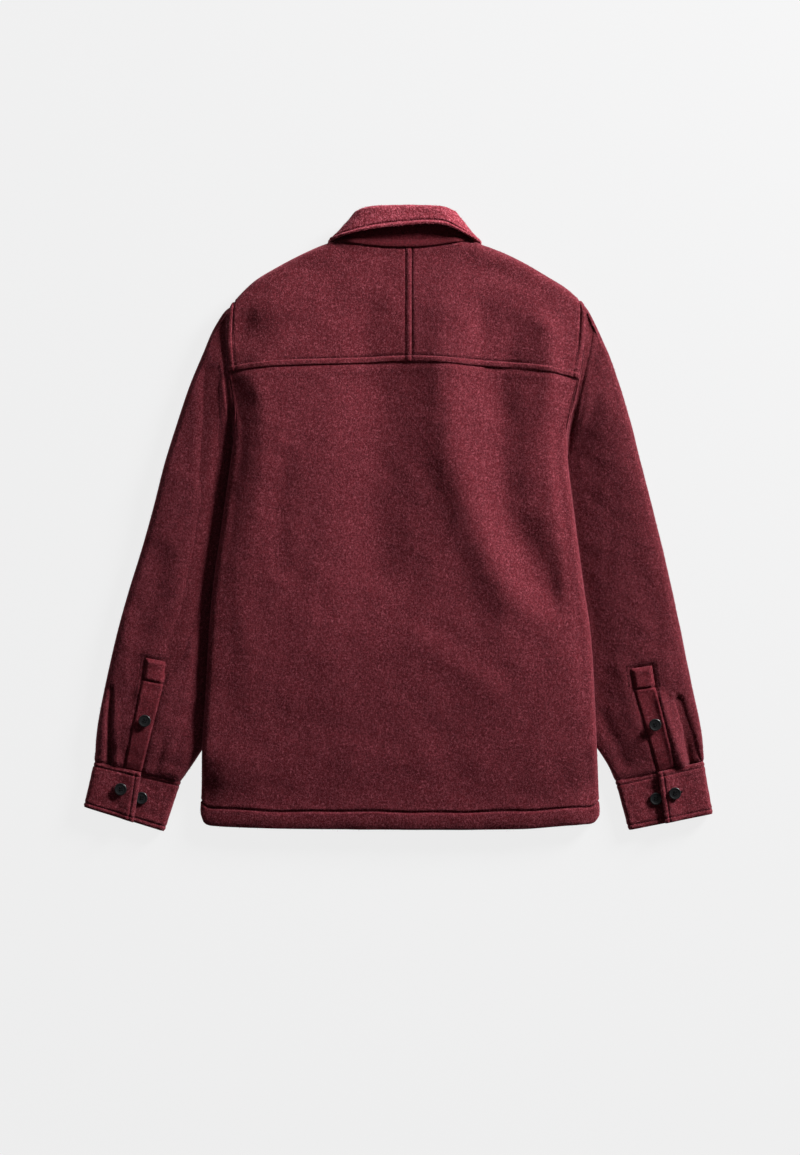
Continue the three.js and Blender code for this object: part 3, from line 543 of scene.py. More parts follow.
def spline(values, knots, places, ring=False):
    """Smooth values at places between the knots, the distances of the values along the first axis."""
    first, last = knots[1] - knots[0], knots[-1] - knots[-2]
    if ring:
        values = np.concatenate([values[-1:], values, values[:2]])
        knots = np.concatenate([[knots[0] - last], knots, [knots[-1] + first]])
    else:
        values = np.concatenate([[2 * values[0] - values[1]], values, [2 * values[-1] - values[-2]]])
        knots = np.concatenate([[knots[0] - first], knots, [knots[-1] + last]])

    def beside(numbers):
        return np.asarray(numbers).reshape(-1, *[1] * (values.ndim - 1))

    steps = beside(np.diff(knots))
    rise = np.diff(values, axis=0) / steps
    slopes = (rise[:-1] * steps[1:] + rise[1:] * steps[:-1]) / (steps[:-1] + steps[1:])
    at = np.clip(np.searchsorted(knots, places, side="right") - 1, 1, len(knots) - 3)
    step = steps[at]
    t = beside(places - knots[at]) / step
    a, b = values[at], values[at + 1]
    da, db = slopes[at - 1] * step, slopes[at] * step
    return a + t * (da + t * (3 * (b - a) - 2 * da - db + t * (2 * (a - b) + da + db)))


def refine(grid, rows, columns, ring=False):
    """A finer grid; rows and columns are each the distances in the coarse grid and the wanted ones."""
    up = spline(grid, *rows)
    return np.swapaxes(spline(np.swapaxes(up, 0, 1), *columns, ring), 0, 1)


def fine_places(grid, axis, step, near=(), ring=False, band=()):
    """Distances along one axis of a grid, and finer ones, closest at the marks and in the band."""
    line = np.moveaxis(grid, axis, 0)
    if ring:
        line = np.concatenate([line, line[:1]])
    lengths = np.linalg.norm(np.diff(line, axis=0), axis=-1).max(axis=-1)
    knots = np.concatenate([[0], np.cumsum(lengths)])
    total = knots[-1]
    wanted = [*np.linspace(0, total, max(3, round(total / step) + 1)), *band]
    for mark in near:
        middle = mark if mark >= 0 else total + mark
        wanted += [middle + offset for offset in (-2.4, -1.2, -0.6, 0, 0.6, 1.2, 2.4)]
    wanted = sorted(d for d in wanted if 0 <= d <= total)
    kept = [wanted[0]]
    for d in wanted[1:]:
        if d - kept[-1] > 0.45:
            kept.append(d)
    kept[-1] = total
    return knots, np.array(kept[:-1] if ring else kept)


def groove(distance, inset, depth=1.5, width=1.15):
    """Dent of a line of stitches, with the cloth puffed on both sides."""
    away = np.abs(distance - inset)
    return -depth * hump(away, width) + 0.35 * hump(away - 3.2, 1.8)


def lapped_edge(distance, inset=TOPSTITCH_INSET, height=0.6):
    """Two or three layers between a seam and its topstitching."""
    swell = height * (1 - smooth(inset - 1.5, inset + 3, distance))
    return swell * smooth(-0.6, 1.4, distance) + groove(distance, inset)


def wall_mesh(name, outer, inner, ring=False):
    """Closed cloth between two grids of points."""
    rows, columns = outer.shape[:2]
    index = np.arange(rows * columns).reshape(rows, columns)
    if ring:
        index = np.concatenate([index, index[:, :1]], axis=1)
    deep = index + rows * columns

    def quads(a, b, c, d):
        return np.stack([a, b, c, d], axis=-1).reshape(-1, 4)

    faces = [
        quads(index[:-1, :-1], index[:-1, 1:], index[1:, 1:], index[1:, :-1]),
        quads(deep[:-1, :-1], deep[1:, :-1], deep[1:, 1:], deep[:-1, 1:]),
        quads(index[0, :-1], deep[0, :-1], deep[0, 1:], index[0, 1:]),
        quads(index[-1, :-1], index[-1, 1:], deep[-1, 1:], deep[-1, :-1]),
    ]
    if not ring:
        faces.append(quads(index[:-1, 0], index[1:, 0], deep[1:, 0], deep[:-1, 0]))
        faces.append(quads(index[:-1, -1], deep[:-1, -1], deep[1:, -1], index[1:, -1]))
    mesh = bpy.data.meshes.new(name)
    points = np.concatenate([outer.reshape(-1, 3), inner.reshape(-1, 3)]) * MM
    mesh.from_pydata(points.tolist(), [], np.concatenate(faces).tolist())
    turned = bmesh.new()
    turned.from_mesh(mesh)
    if turned.calc_volume(signed=True) < 0:
        bmesh.ops.reverse_faces(turned, faces=turned.faces)
    turned.to_mesh(mesh)
    turned.free()
    mesh.shade_smooth()
    return mesh


def distances(grid, axis):
    """Distance of each point of a grid from the start of its row or column."""
    lengths = np.cumsum(np.linalg.norm(np.diff(grid, axis=axis), axis=-1), axis=axis)
    return np.insert(lengths, 0, 0, axis=axis)


def surface_area(grid, ring=False):
    closed = np.concatenate([grid, grid[:, :1]], axis=1) if ring else grid
    one = np.cross(closed[1:, :-1] - closed[:-1, :-1], closed[:-1, 1:] - closed[:-1, :-1])
    two = np.cross(closed[1:, :-1] - closed[1:, 1:], closed[:-1, 1:] - closed[1:, 1:])
    return (np.linalg.norm(one, axis=-1).sum() + np.linalg.norm(two, axis=-1).sum()) / 2 * MM * MM


def span(grid, ring=False):
    """Width and length of a cut piece, from the longest row and column of its grid."""
    closed = np.concatenate([grid, grid[:, :1]], axis=1) if ring else grid
    width = np.linalg.norm(np.diff(closed, axis=1), axis=-1).sum(axis=1).max()
    length = np.linalg.norm(np.diff(closed, axis=0), axis=-1).sum(axis=0).max()
    return float(width * MM * 1.02), float(length * MM * 1.02)


def unevenness(grid, size, seed):
    """Smooth random height over a grid, about one bump to each size."""
    rng = np.random.default_rng(seed)
    height = np.zeros(grid.shape[:2])
    for _ in range(14):
        heading, phase = rng.uniform(0, 2 * math.pi, 2)
        wave = 2 * math.pi / (size * rng.uniform(0.7, 1.8))
        run = grid[..., 0] * math.cos(heading) + grid[..., 1] * math.sin(heading)
        height += np.sin(run * wave + phase + 1.3 * np.sin(run * wave * 0.37 + 2 * phase))
    return height / 14**0.5


# Creases on top of the folds: the line they follow, height, half width
BODY_CREASES = [
    ([(-150, 98), (-172, 78), (-204, 48)], 1.8, 8),
    ([(-142, 76), (-152, 20), (-150, -60)], -1.6, 14),
    ([(-196, 182), (-178, 160)], 1.6, 12),
    ([(20, -150), (70, -182), (122, -224)], 1.2, 16),
    ([(60, -150), (132, -192)], -0.8, 14),
    ([(-205, -60), (-198, -130), (-190, -200)], 1.4, 16),
    ([(170, -150), (192, -210), (204, -265)], -0.7, 19),
    ([(-90, -180), (-76, -240), (-60, -300)], 1.2, 28),
    ([(60, -260), (80, -340)], -1.0, 26),
    ([(-120, -80), (-60, -120)], -1.0, 22),
    ([(-178, 240), (-150, 250)], -2.4, 20),
    ([(-50, 252), (-42, 215)], -1.5, 18),
    ([(146, 240), (140, 210)], -2.0, 16),
    ([(-140, 322), (-90, 310)], -1.6, 15),
    ([(95, 318), (150, 304)], -1.6, 15),
    ([(-60, 300), (-20, 280)], 1.2, 18),
]
SLEEVE_CREASES = {
    LEFT: [
        ([(-238, 264), (-228, 222), (-226, 180)], -3.0, 7),
        ([(-238, 180), (-240, 80), (-240, 20), (-262, -100), (-290, -190)], -5, 14),
        ([(-290, 60), (-300, -20)], 1.6, 15),
        ([(-300, -60), (-312, -110), (-330, -150)], -1.8, 16),
        ([(-345, -130), (-352, -190)], 1.4, 11),
        ([(-285, -180), (-300, -260)], 1.4, 11),
        ([(-262, -240), (-286, -310)], -1.6, 8),
        ([(-376, -240), (-378, -306)], 1.8, 5),
        ([(-366, -216), (-368.4, -257), (-368.4, -312)], -5.0, 2.6),
        ([(-360, -240), (-360, -306)], 1.8, 5),
        ([(-300, -285), (-309, -322)], -1.4, 5),
    ],
    RIGHT: [
        ([(262, 205), (278, 120), (302, 30), (328, -90), (352, -200)], 3.5, 24),
        ([(256, 236), (244, 190)], -2.2, 8),
        ([(306, -60), (318, -100), (332, -150)], -1.8, 16),
        ([(285, -190), (298, -260)], 1.4, 11),
        ([(262, -250), (288, -310)], -1.6, 8),
        ([(333, -228), (346, -268), (361, -312)], 3.6, 6.5),
        ([(357, -232), (368, -270), (378, -314)], -8.0, 4.5),
        ([(372, -280), (382, -314)], -5.0, 6.0),
        ([(378, -240), (386, -300)], 1.4, 5),
    ],
}


# Slight unevenness on top of the creases: height, size and seed of each
BACK_UNEVENNESS = ((0.34, 46, 3), (0.07, 15, 4))
YOKE_UNEVENNESS = ((0.3, 46, 3), (0.07, 15, 4))
SLEEVE_UNEVENNESS = ((0.34, 40, 7), (0.07, 14, 8))


def top_facing(out):
    """1 where the cloth faces up and 0 where it faces sideways or down."""
    return smooth(0.2, 0.8, out[..., 2])


def relaxed(grid, out, creases, unevennesses):
    """Height of the creases and of the slight unevenness on top of them."""
    height = fold_height(grid[..., 0], grid[..., 1], creases)
    for rise, size, seed in unevennesses:
        height = height + rise * unevenness(grid, size, seed)
    return height * top_facing(out)


def shaped(grid, sign, lift, thickness, ring=False):
    """Outer and inner points of a piece whose outer side is raised by a height at each point."""
    out = normals(grid, sign, ring)
    outer = grid + out * lift[..., None]
    return outer, grid - out * thickness, out


def frames(points, next_in, edge_normals):
    """Points on an edge with their normals and the direction away from the piece."""
    along = tangents(points[:, None], 0)[:, 0]
    out = unit(np.cross(along, edge_normals))
    facing = np.sign((out * (points - next_in)).sum(axis=1, keepdims=True))
    return points, edge_normals, out * facing


def joined(first, second):
    at = (first[0] + second[0]) / 2
    return at, unit(first[1] + second[1]), unit(first[2] + second[2])


# The pieces of the body, as coarse grids

BACK = back_grid()
YOKES = {side: yoke_grid(side) for side in SIDES}
FRONTS = {side: front_grid(side, YOKES[side]) for side in SIDES}


def armhole_loop(side):
    """The armhole edge, over the top from the shoulder to the underarm and back along the front."""
    yoke, front = YOKES[side], FRONTS[side]
    first = len(BODY_ROWS) - 1
    column, inward = (0, 1) if side == LEFT else (-1, -2)
    yoke_edge = frames(yoke[-1], yoke[-2], normals(yoke, -side)[-1])
    back_edge = frames(BACK[first:, column], BACK[first:, inward], normals(BACK, 1)[first:, column])
    front_edge = frames(front[first:, 0], front[first:, 1], normals(front, side)[first:, 0])

    def item(edge, k):
        return tuple(part[k] for part in edge)

    loop = [joined(item(yoke_edge, -1), item(front_edge, -1))]
    loop += [item(yoke_edge, k) for k in range(len(yoke) + 6, 0, -1)][: len(yoke[0]) - 2]
    loop.append(joined(item(yoke_edge, 0), item(back_edge, -1)))
    loop += [item(back_edge, k) for k in range(len(back_edge[0]) - 2, 0, -1)]
    loop.append(joined(item(back_edge, 0), item(front_edge, 0)))
    loop += [item(front_edge, k) for k in range(1, len(front_edge[0]) - 1)]
    return [np.array(part) for part in zip(*loop)]


def section_plan():
    """Where each point of a sleeve section lies: at an angle on its outer or inner edge, or at a share
    across its top or bottom."""
    turn_steps, flat_steps = 10, 8
    plan = [("outer", max(90 - 190 * (turn_steps - k) / turn_steps, -90)) for k in range(turn_steps)]
    top_count = flat_steps + 1 + len(BACK_ROWS) - 1
    top_shares = [0.05 + 0.78 * (k / (top_count - 1)) ** 1.1 for k in range(top_count)]
    plan += [("top", share) for share in top_shares]
    plan += [("inner", 55), ("inner", 0), ("inner", -55)]
    plan += [("bottom", (ARMHOLE_TOP - row[0]) / (ARMHOLE_TOP - UNDERARM)) for row in FRONT_ROWS[1:]]
    return plan


def pleat_height(side, share, section):
    height = 0
    for pleat_side, cuff, top, start, rise, width in PLEATS:
        if pleat_side == side:
            t = np.clip((section - start) / (len(SLEEVE) - start), 0, 1)
            height += rise * smooth(0, 1, t) * math.exp(-(((share - mix(top, cuff, t)) / width) ** 2))
    return height


def sleeve_section(side, index, plan, loop_ys, inset):
    outer_end, inner_end, rim, middle = SLEEVE[index]
    pick = 1 if side == LEFT else 2
    start, end = point(outer_end[pick], outer_end[0]), point(inner_end[pick], inner_end[0])
    length = np.linalg.norm(end - start)
    across = unit(end - start)

    def height(share):
        x, y = (start + across * share * length)[:2]
        open_height = mix(rim, middle, math.sin(math.pi * min(0.5, share)) ** 0.8)
        under = side * (edge_x(side, y) - x)
        sunk = float(np.clip(under / TUCK_RUN[side] + 1, 0, 1)) ** 2
        tucked = mix(open_height, min(open_height, TUCKED_HEIGHT), sunk)
        return mix(open_height, tucked, 1 - smooth(88, 150, y)) + pleat_height(side, share, index + 1)

    settled = smooth(0, SETTLED_SECTION, index + 1)
    points = []
    for (kind, value), loop_y in zip(plan, loop_ys):
        if kind in ("outer", "inner"):
            half = height(0.97 if kind == "inner" else 0.03) / 2
            reach = (half - inset) * (1 - math.cos(math.radians(value))) + inset
            p = start + across * (length - reach if kind == "inner" else reach)
            p[2] = half + (half - inset) * math.sin(math.radians(value))
        else:
            seam_share = (ARMHOLE_TOP - loop_y) / (ARMHOLE_TOP - UNDERARM)
            share = mix(seam_share, value, settled) if kind == "top" else value
            p = start + across * share * length
            p[2] = height(share) - inset if kind == "top" else inset
        points.append(p)
    return points


def seam_gap(kind, y):
    """Distance of a sleeve's edge from the armhole, wider where both turn sharply."""
    if kind == "inner":
        return 4 * SEAM
    return 3 * SEAM if kind == "outer" or y < 170 else SEAM


def sleeve_grids(side):
    at, normal, out = armhole_loop(side)
    plan = section_plan()
    gap = np.array([seam_gap(kind, y) for (kind, _), y in zip(plan, at[:, 1])])
    seam = at + out * gap[:, None]
    grids = []
    for inset, first in ((0, seam), (CLOTH, seam - normal * CLOTH)):
        sections = [sleeve_section(side, index, plan, at[:, 1], inset) for index in range(len(SLEEVE))]
        grids.append(np.array([first, *sections]))
    return grids


SLEEVES = {side: sleeve_grids(side) for side in SIDES}


def height_finder(grid):
    """Function that gives the highest point of a grid near each place."""
    flat = grid.reshape(-1, 3)

    def find(x, y):
        away = np.hypot(flat[:, 0] - x, flat[:, 1] - y)
        near = np.argpartition(away, 12)[:12]
        near = near[flat[near, 2] > flat[near, 2].max() - 4]
        weight = 1 / (away[near] + 0.3) ** 2
        return float((flat[near, 2] * weight).sum() / weight.sum())

    return find


def cuff_path(over):
    """Way round a cuff from the end of its lip: share across, shift and height of each point."""

    def end(far, middle, height):
        for degrees in (-60, -30, 0, 30, 60) if far else (60, 30, 0, -30, -60):
            angle = math.radians(degrees)
            reach = middle * (1 - math.cos(angle))
            yield (1 if far else 0, -reach if far else reach, middle + (height - middle) * math.sin(angle))

    return [
        (over, 0, CUFF_LIP),
        (over - 0.1, 0, CUFF_LIP - 0.4),
        (over - 0.22, 0, CUFF_HEIGHT),
        (0.2, 0, CUFF_HEIGHT),
        (0.08, 0, CUFF_HEIGHT - 0.2),
        *end(False, CUFF_HEIGHT / 2, CUFF_HEIGHT),
        (0.08, 0, 0),
        (0.3, 0, 0),
        (0.6, 0, 0),
        (0.9, 0, 0),
        *end(True, CUFF_UNDER / 2, CUFF_UNDER),
        (0.9, 0, CUFF_UNDER),
        (0.7, 0, CUFF_UNDER),
        (0.55, 0, CUFF_UNDER),
        (0.42, 0, CUFF_UNDER),
    ]


def cuff_grid(side):
    top, bottom, over = CUFF_CORNERS[side]
    grid = []
    for t in np.linspace(0, 1, 5):
        start = mix(point(*top[0]), point(*bottom[0]), t)
        end = mix(point(*top[1]), point(*bottom[1]), t)
        across, length = unit(end - start), np.linalg.norm(end - start)
        row = []
        for share, shift, z in cuff_path(mix(over[0], over[1], t)):
            p = start + across * (share * length + shift)
            p[2] = z
            row.append(p)
        grid.append(row)
    return np.array(grid)


def collar_sections(side):
    """Foot, fold, directions, fold radius and free edge of the collar, from the middle of the back on."""
    yoke, front = YOKES[side], FRONTS[side]
    heads = slice(0, NECK_SECTIONS)
    yoke_edge = frames(yoke[heads, -1], yoke[heads, -2], normals(yoke, -side)[heads, -1])
    first = len(BODY_ROWS) + next(k for k, row in enumerate(FRONT_ROWS) if row[1] == 0)
    front_edge = frames(front[first:, -1], front[first:, -2], normals(front, side)[first:, -1])
    neck = [tuple(part[k] for part in yoke_edge) for k in range(NECK_SECTIONS - 1)]
    front_items = [tuple(part[k] for part in front_edge) for k in range(len(front_edge[0]))][::-1]
    neck.append(joined(tuple(part[-1] for part in yoke_edge), front_items[0]))
    neck += front_items[1:]
    sections = []
    for (turn, radius, fold, left, right, edge_height), (at, _, away) in zip(COLLAR, neck):
        free = left if side == LEFT else right
        fold_point = point(fold[1] if side == LEFT else fold[2], fold[0], fold[3])
        foot = at - away * TUCKED_IN
        run = unit(point(*(fold_point - foot)[:2]))
        beside = point(run[1] * side, -run[0] * side)
        angle = math.radians(turn)
        out = unit(point(0, 0, math.sin(angle)) + beside * math.cos(angle))
        up = fold_point - foot
        up = unit(up - out * (up @ out))
        sections.append((foot, fold_point, out, up, radius, point(*free, edge_height)))
    return sections


def stand_points(section, depth):
    foot, fold, out, up, radius, _ = section
    top = fold - up * (radius + COLLAR_LEG + 7 * SEAM) + out * (COLLAR_CLOTH - radius)
    return [mix(foot, top, k / 6) - out * depth for k in range(7)]


def leaf_points(section, depth):
    _, fold, out, up, radius, edge = section
    centre, bend = fold - up * radius, radius - depth
    points = [centre - up * COLLAR_LEG - out * bend]
    for degrees in range(-90, 91, 20):
        angle = math.radians(degrees)
        points.append(centre + up * bend * math.cos(angle) + out * bend * math.sin(angle))
    start, free = points[-1], edge - out * depth
    return points + [mix(start, free, share) for share in (0.2, 0.4, 0.6, 0.8, 1)]


def collar_grids(points):
    left, right = collar_sections(LEFT), collar_sections(RIGHT)
    sections = left[::-1] + right[1:]
    return [np.array([points(section, depth) for section in sections]) for depth in (0, COLLAR_CLOTH)]


# Shader maths


class Value:
    """A node socket that adds Math nodes when it is calculated with."""

    def __init__(self, tree, socket):
        self.tree, self.socket = tree, socket

    def _calculate(self, operation, a, b, clamp=False):
        settings = {"operation": operation, "use_clamp": clamp}
        return self.tree.node("ShaderNodeMath", settings, {0: a, 1: b})["Value"]

    def __add__(self, other):
        return self._calculate("ADD", self, other)

    def __sub__(self, other):
        return self._calculate("SUBTRACT", self, other)

    def __rsub__(self, other):
        return self._calculate("SUBTRACT", other, self)

    def __mul__(self, other):
        return self._calculate("MULTIPLY", self, other)

    def __abs__(self):
        return self._calculate("ABSOLUTE", self, 0.0)

    def clipped(self):
        return self._calculate("ADD", self, 0.0, clamp=True)

    __radd__ = __add__
    __rmul__ = __mul__


class ShaderTree:
    """The nodes of one material."""

    def __init__(self, name):
        self.material = bpy.data.materials.new(name)
        self.material.use_nodes = True
        self.nodes = self.material.node_tree.nodes
        self.links = self.material.node_tree.links
        self.shader = self.nodes["Principled BSDF"]

    def node(self, kind, settings=None, inputs=None):
        """Adds a node and returns its outputs by name."""
        node = self.nodes.new(kind)
        for name, value in (settings or {}).items():
            setattr(node, name, value)
        for name, value in (inputs or {}).items():
            self.feed(node.inputs[name], value)
        return {output.name: Value(self, output) for output in node.outputs if output.enabled}

    def feed(self, socket, value):
        if isinstance(value, Value):
            self.links.new(value.socket, socket)
        else:
            socket.default_value = value

    def mixed(self, factor, a, b):
        """Colour between two colours."""
        node = self.nodes.new("ShaderNodeMix")
        node.data_type = "RGBA"
        for socket, value in ((node.inputs[0], factor), (node.inputs[6], a), (node.inputs[7], b)):
            self.feed(socket, value)
        return Value(self, node.outputs[2])

    def noise(self, place, scale, detail=2.0, roughness=0.5, distortion=0.0):
        values = {
            "Vector": place,
            "Scale": scale,
            "Detail": detail,
            "Roughness": roughness,
            "Distortion": distortion,
        }
        return self.node("ShaderNodeTexNoise", {}, values)["Fac"]

    def moved(self, place, **values):
        """Places shifted, turned or stretched."""
        return self.node("ShaderNodeMapping", {}, {"Vector": place, **values})["Vector"]


def linear(colour):
    """Linear RGBA of an sRGB colour given from 0 to 255."""
    return (*((c / 255 / 12.92) if c <= 10 else ((c / 255 + 0.055) / 1.055) ** 2.4 for c in colour), 1.0)


def wool_material(name, settings, shade=1.0, fuzz=1.0):
    """Brushed, felted wool: matted hair in several directions, lighter hairs on top, and a soft sheen."""
    tree = ShaderTree(name)
    place = tree.node("ShaderNodeTexCoord")["Object"]
    colours = (settings.deep, settings.wool, settings.hair)
    deep, middle, hair = ((*(c * shade for c in colour[:3]), 1.0) for colour in colours)
    clouds = tree.noise(place, 38, 3.0, 0.6)
    matted = tree.noise(place, 430, 4.0, 0.62, 0.6)
    strands = [
        tree.noise(tree.moved(place, Rotation=(0, 0, turn), Scale=scale), 1.0, 3.0, 0.7, 1.2)
        for turn, scale in ((0.5, (900, 190, 600)), (2.1, (850, 210, 600)), (1.2, (260, 980, 600)))
    ]
    shadowed = ((matted - 0.3) * 2.1).clipped()
    colour = tree.mixed(shadowed, deep, middle)
    lit_hair = ((strands[0] * strands[1] * 4.0 - 1.12) * 3.0).clipped()
    loose_hair = ((strands[2] - 0.6) * 5.0).clipped()
    curls = 0.0
    for shift, scale in ((0.0, 300), (3.7, 240), (8.1, 380)):
        moved = tree.moved(place, Location=(shift, shift * 0.7, 0))
        line = (1 - abs(tree.noise(moved, scale, 1.0, 0.5, 0.8) - 0.5) * 26).clipped()
        kept = ((tree.noise(moved, scale * 1.3, 1.0) - 0.5) * 9).clipped()
        curls = line * kept + curls
    colour = tree.mixed(lit_hair * 0.3 * fuzz, colour, hair)
    colour = tree.mixed(loose_hair * 0.24 * fuzz, colour, hair)
    colour = tree.mixed(curls.clipped() * 0.56 * fuzz, colour, hair)
    colour = tree.mixed(((clouds - 0.45) * 1.6).clipped() * 0.14, colour, middle)
    tree.feed(tree.shader.inputs["Base Color"], colour)
    relief = matted * 0.4 + strands[0] * 0.4 + strands[2] * 0.4 + clouds * 0.15 + curls * 0.2
    bump = {"Strength": 0.6 * fuzz, "Distance": 0.0011, "Height": relief}
    tree.feed(tree.shader.inputs["Normal"], tree.node("ShaderNodeBump", {}, bump)["Normal"])
    tree.shader.inputs["Roughness"].default_value = 0.95
    tree.shader.inputs["Specular IOR Level"].default_value = 0.12
    tree.shader.inputs["Sheen Weight"].default_value = settings.sheen * fuzz
    tree.shader.inputs["Sheen Roughness"].default_value = 0.45
    tree.shader.inputs["Sheen Tint"].default_value = linear((220, 128, 142))
    return tree.material


def plain_material(name, colour, roughness, specular, grain):
    """One colour with darker spots."""
    tree = ShaderTree(name)
    tree.shader.inputs["Roughness"].default_value = roughness
    tree.shader.inputs["Specular IOR Level"].default_value = specular
    place = tree.node("ShaderNodeTexCoord")["Object"]
    spots = tree.noise(place, 420, 3.0, 0.6)
    darker = (*(c * (1 - grain) for c in colour[:3]), 1.0)
    tree.feed(tree.shader.inputs["Base Color"], tree.mixed(spots, darker, colour))
    return tree.material


MATERIALS = {}


def material(key):
    if key not in MATERIALS:
        settings = bpy.context.scene.shacket
        makers = {
            "wool": lambda: wool_material("felted_wool", settings),
            # The sleeves' wool is the body's wool made darker: painted shade on the same cloth
            "sleeve": lambda: wool_material("sleeve_wool_painted_shade", settings, 0.84, 0.9),
            # The collar leaf's wool is the body's wool made much lighter, with more lit hairs: painted light
            # where the leaf faces the light
            "collar": lambda: wool_material("collar_wool_painted_light", settings, 1.85, 1.5),
            "strip": lambda: wool_material("placket_wool", settings, 1.08, 0.6),
            # The stand's smooth cloth is made lighter than the body's wool: painted light in the shadow under
            # the leaf
            "stand": lambda: wool_material("smooth_stand_cloth_painted_light", settings, 1.2, 0.35),
            "band": lambda: wool_material("neck_band_cloth", settings, 1.0, 0.35),
            "thread": lambda: plain_material("burgundy_thread", tuple(settings.thread), 0.8, 0.1, 0.3),
            "nap": lambda: plain_material("loose_wool_hair", tuple(settings.nap), 0.95, 0.05, 0.35),
            "button": lambda: plain_material("black_horn", tuple(settings.button), 0.34, 0.5, 0.3),
            "button_thread": lambda: plain_material("black_thread", linear((22, 20, 22)), 0.8, 0.1, 0.2),
        }
        MATERIALS[key] = makers[key]()
    return MATERIALS[key]


# Objects


def place_piece(name, mesh, material_key, nodes=(), location=(0, 0, 0), rotation=(0, 0, 0)):
    mesh.materials.clear()
    mesh.materials.append(material(material_key))
    piece = bpy.data.objects.new(name, mesh)
    piece.location, piece.rotation_euler = location, rotation
    bpy.context.scene.collection.objects.link(piece)
    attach(piece, "root")
    if nodes:
        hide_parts(*nodes)
    return piece


STITCH_LINES = []
NAP_PATCHES = []


def cloth_piece(name, outer, inner, out, slot="wool", ring=False, nap=1.0, material_key=None):
    """A piece of cloth in place of its solid, and the share of hairs it gets; its flat size is worked out but
    not kept.
    """
    piece = place_piece(name, wall_mesh(name, outer, inner, ring), material_key or slot, [name])
    width, length = span(outer, ring)
    area = min(surface_area(outer, ring), width * length)
    if nap:
        NAP_PATCHES.append((outer, out, nap))
    return piece


def joined_mesh(name, points, faces):
    mesh = bpy.data.meshes.new(name)
    mesh.from_pydata((points * MM).tolist(), [], faces.tolist())
    return mesh


def stitch_mesh(name, lines):
    """Short rounded stitches laid along lines of points, sunk halfway into the cloth."""
    length, sides = STITCH_LENGTH, 5
    rings = [(-0.5, 0.35), (-0.3, 1.0), (0.3, 1.0), (0.5, 0.35)]
    centres, heads, tops = [], [], []
    for points, out in lines:
        along = np.concatenate([[0], np.cumsum(np.linalg.norm(np.diff(points, axis=0), axis=1))])
        if along[-1] < 2 * length:
            continue
        at = np.arange(length, along[-1] - length / 2, length + STITCH_PAUSE)
        centre = np.stack([np.interp(at, along, points[:, c]) for c in range(3)], axis=1)
        ahead = np.stack([np.interp(at + 1, along, points[:, c]) for c in range(3)], axis=1)
        top = np.stack([np.interp(at, along, out[:, c]) for c in range(3)], axis=1)
        centres.append(centre)
        heads.append(unit(ahead - centre + 1e-9))
        tops.append(unit(top))
    centre, head, top = (np.concatenate(part) for part in (centres, heads, tops))
    side = unit(np.cross(head, top))
    vertices = []
    for place, size in rings:
        for k in range(sides):
            angle = 2 * math.pi * k / sides
            ring = side * math.cos(angle) + top * math.sin(angle)
            vertices.append(centre + head * length * place + ring * STITCH_RADIUS * size)
    count = len(rings) * sides
    points = np.stack(vertices, axis=1).reshape(-1, 3)
    faces = []
    for r in range(len(rings) - 1):
        for k in range(sides):
            a, b = r * sides + k, r * sides + (k + 1) % sides
            faces += [(a, b, b + sides), (a, b + sides, a + sides)]
    last = (len(rings) - 1) * sides
    for k in range(1, sides - 1):
        faces += [(0, k + 1, k), (last, last + k, last + k + 1)]
    all_faces = (np.array(faces)[None] + (np.arange(len(centre)) * count)[:, None, None]).reshape(-1, 3)
    return joined_mesh(name, points, all_faces)


def nap_mesh(name, patch, per_square_cm, seed):
    """Loose wool hairs: thin closed needles that lie nearly flat in all directions."""
    rng = np.random.default_rng(seed)
    outer, out, share = patch
    corner, beside, above = outer[:-1, :-1], outer[:-1, 1:], outer[1:, :-1]
    cell = np.linalg.norm(np.cross(above - corner, beside - corner), axis=-1)
    facing = out[:-1, :-1, 2] > 0.05
    weight = (cell * facing).ravel()
    count = int(weight.sum() / 100 * per_square_cm * share)
    picked = rng.choice(len(weight), count, p=weight / weight.sum())
    i, j = np.unravel_index(picked, cell.shape)
    u, v = rng.random((2, count, 1))
    lower, upper = mix(outer[i, j], outer[i, j + 1], u), mix(outer[i + 1, j], outer[i + 1, j + 1], u)
    root, out = mix(lower, upper, v), out[i, j]
    loose = unit(rng.normal(size=(count, 3)))
    flat = unit(loose - out * (loose * out).sum(axis=1, keepdims=True))
    head = unit(flat + out * rng.uniform(0.05, 0.45, (count, 1)))
    side = unit(np.cross(head, out))
    length = rng.uniform(*HAIR_LENGTH, (count, 1))
    width = HAIR_WIDTH
    base = root - out * 0.1
    corners = [base + side * width, base - side * width, base + out * width * 1.6, root + head * length]
    needles = np.stack(corners, axis=1)
    needles = needles[needles[..., 2].min(axis=1) > 0]
    shape = np.array([(0, 2, 1), (0, 1, 3), (1, 2, 3), (2, 0, 3)])
    faces = (shape[None] + (np.arange(len(needles)) * 4)[:, None, None]).reshape(-1, 3)
    return joined_mesh(name, needles.reshape(-1, 3), faces)


def stitch_line(outer, out, *place):
    """Line of stitches on a piece, at the points picked by rows and columns."""
    return outer[place] + out[place] * STITCH_LIFT, out[place]


def nearest(places, wanted):
    return int(np.abs(places - wanted).argmin())


# Pieces


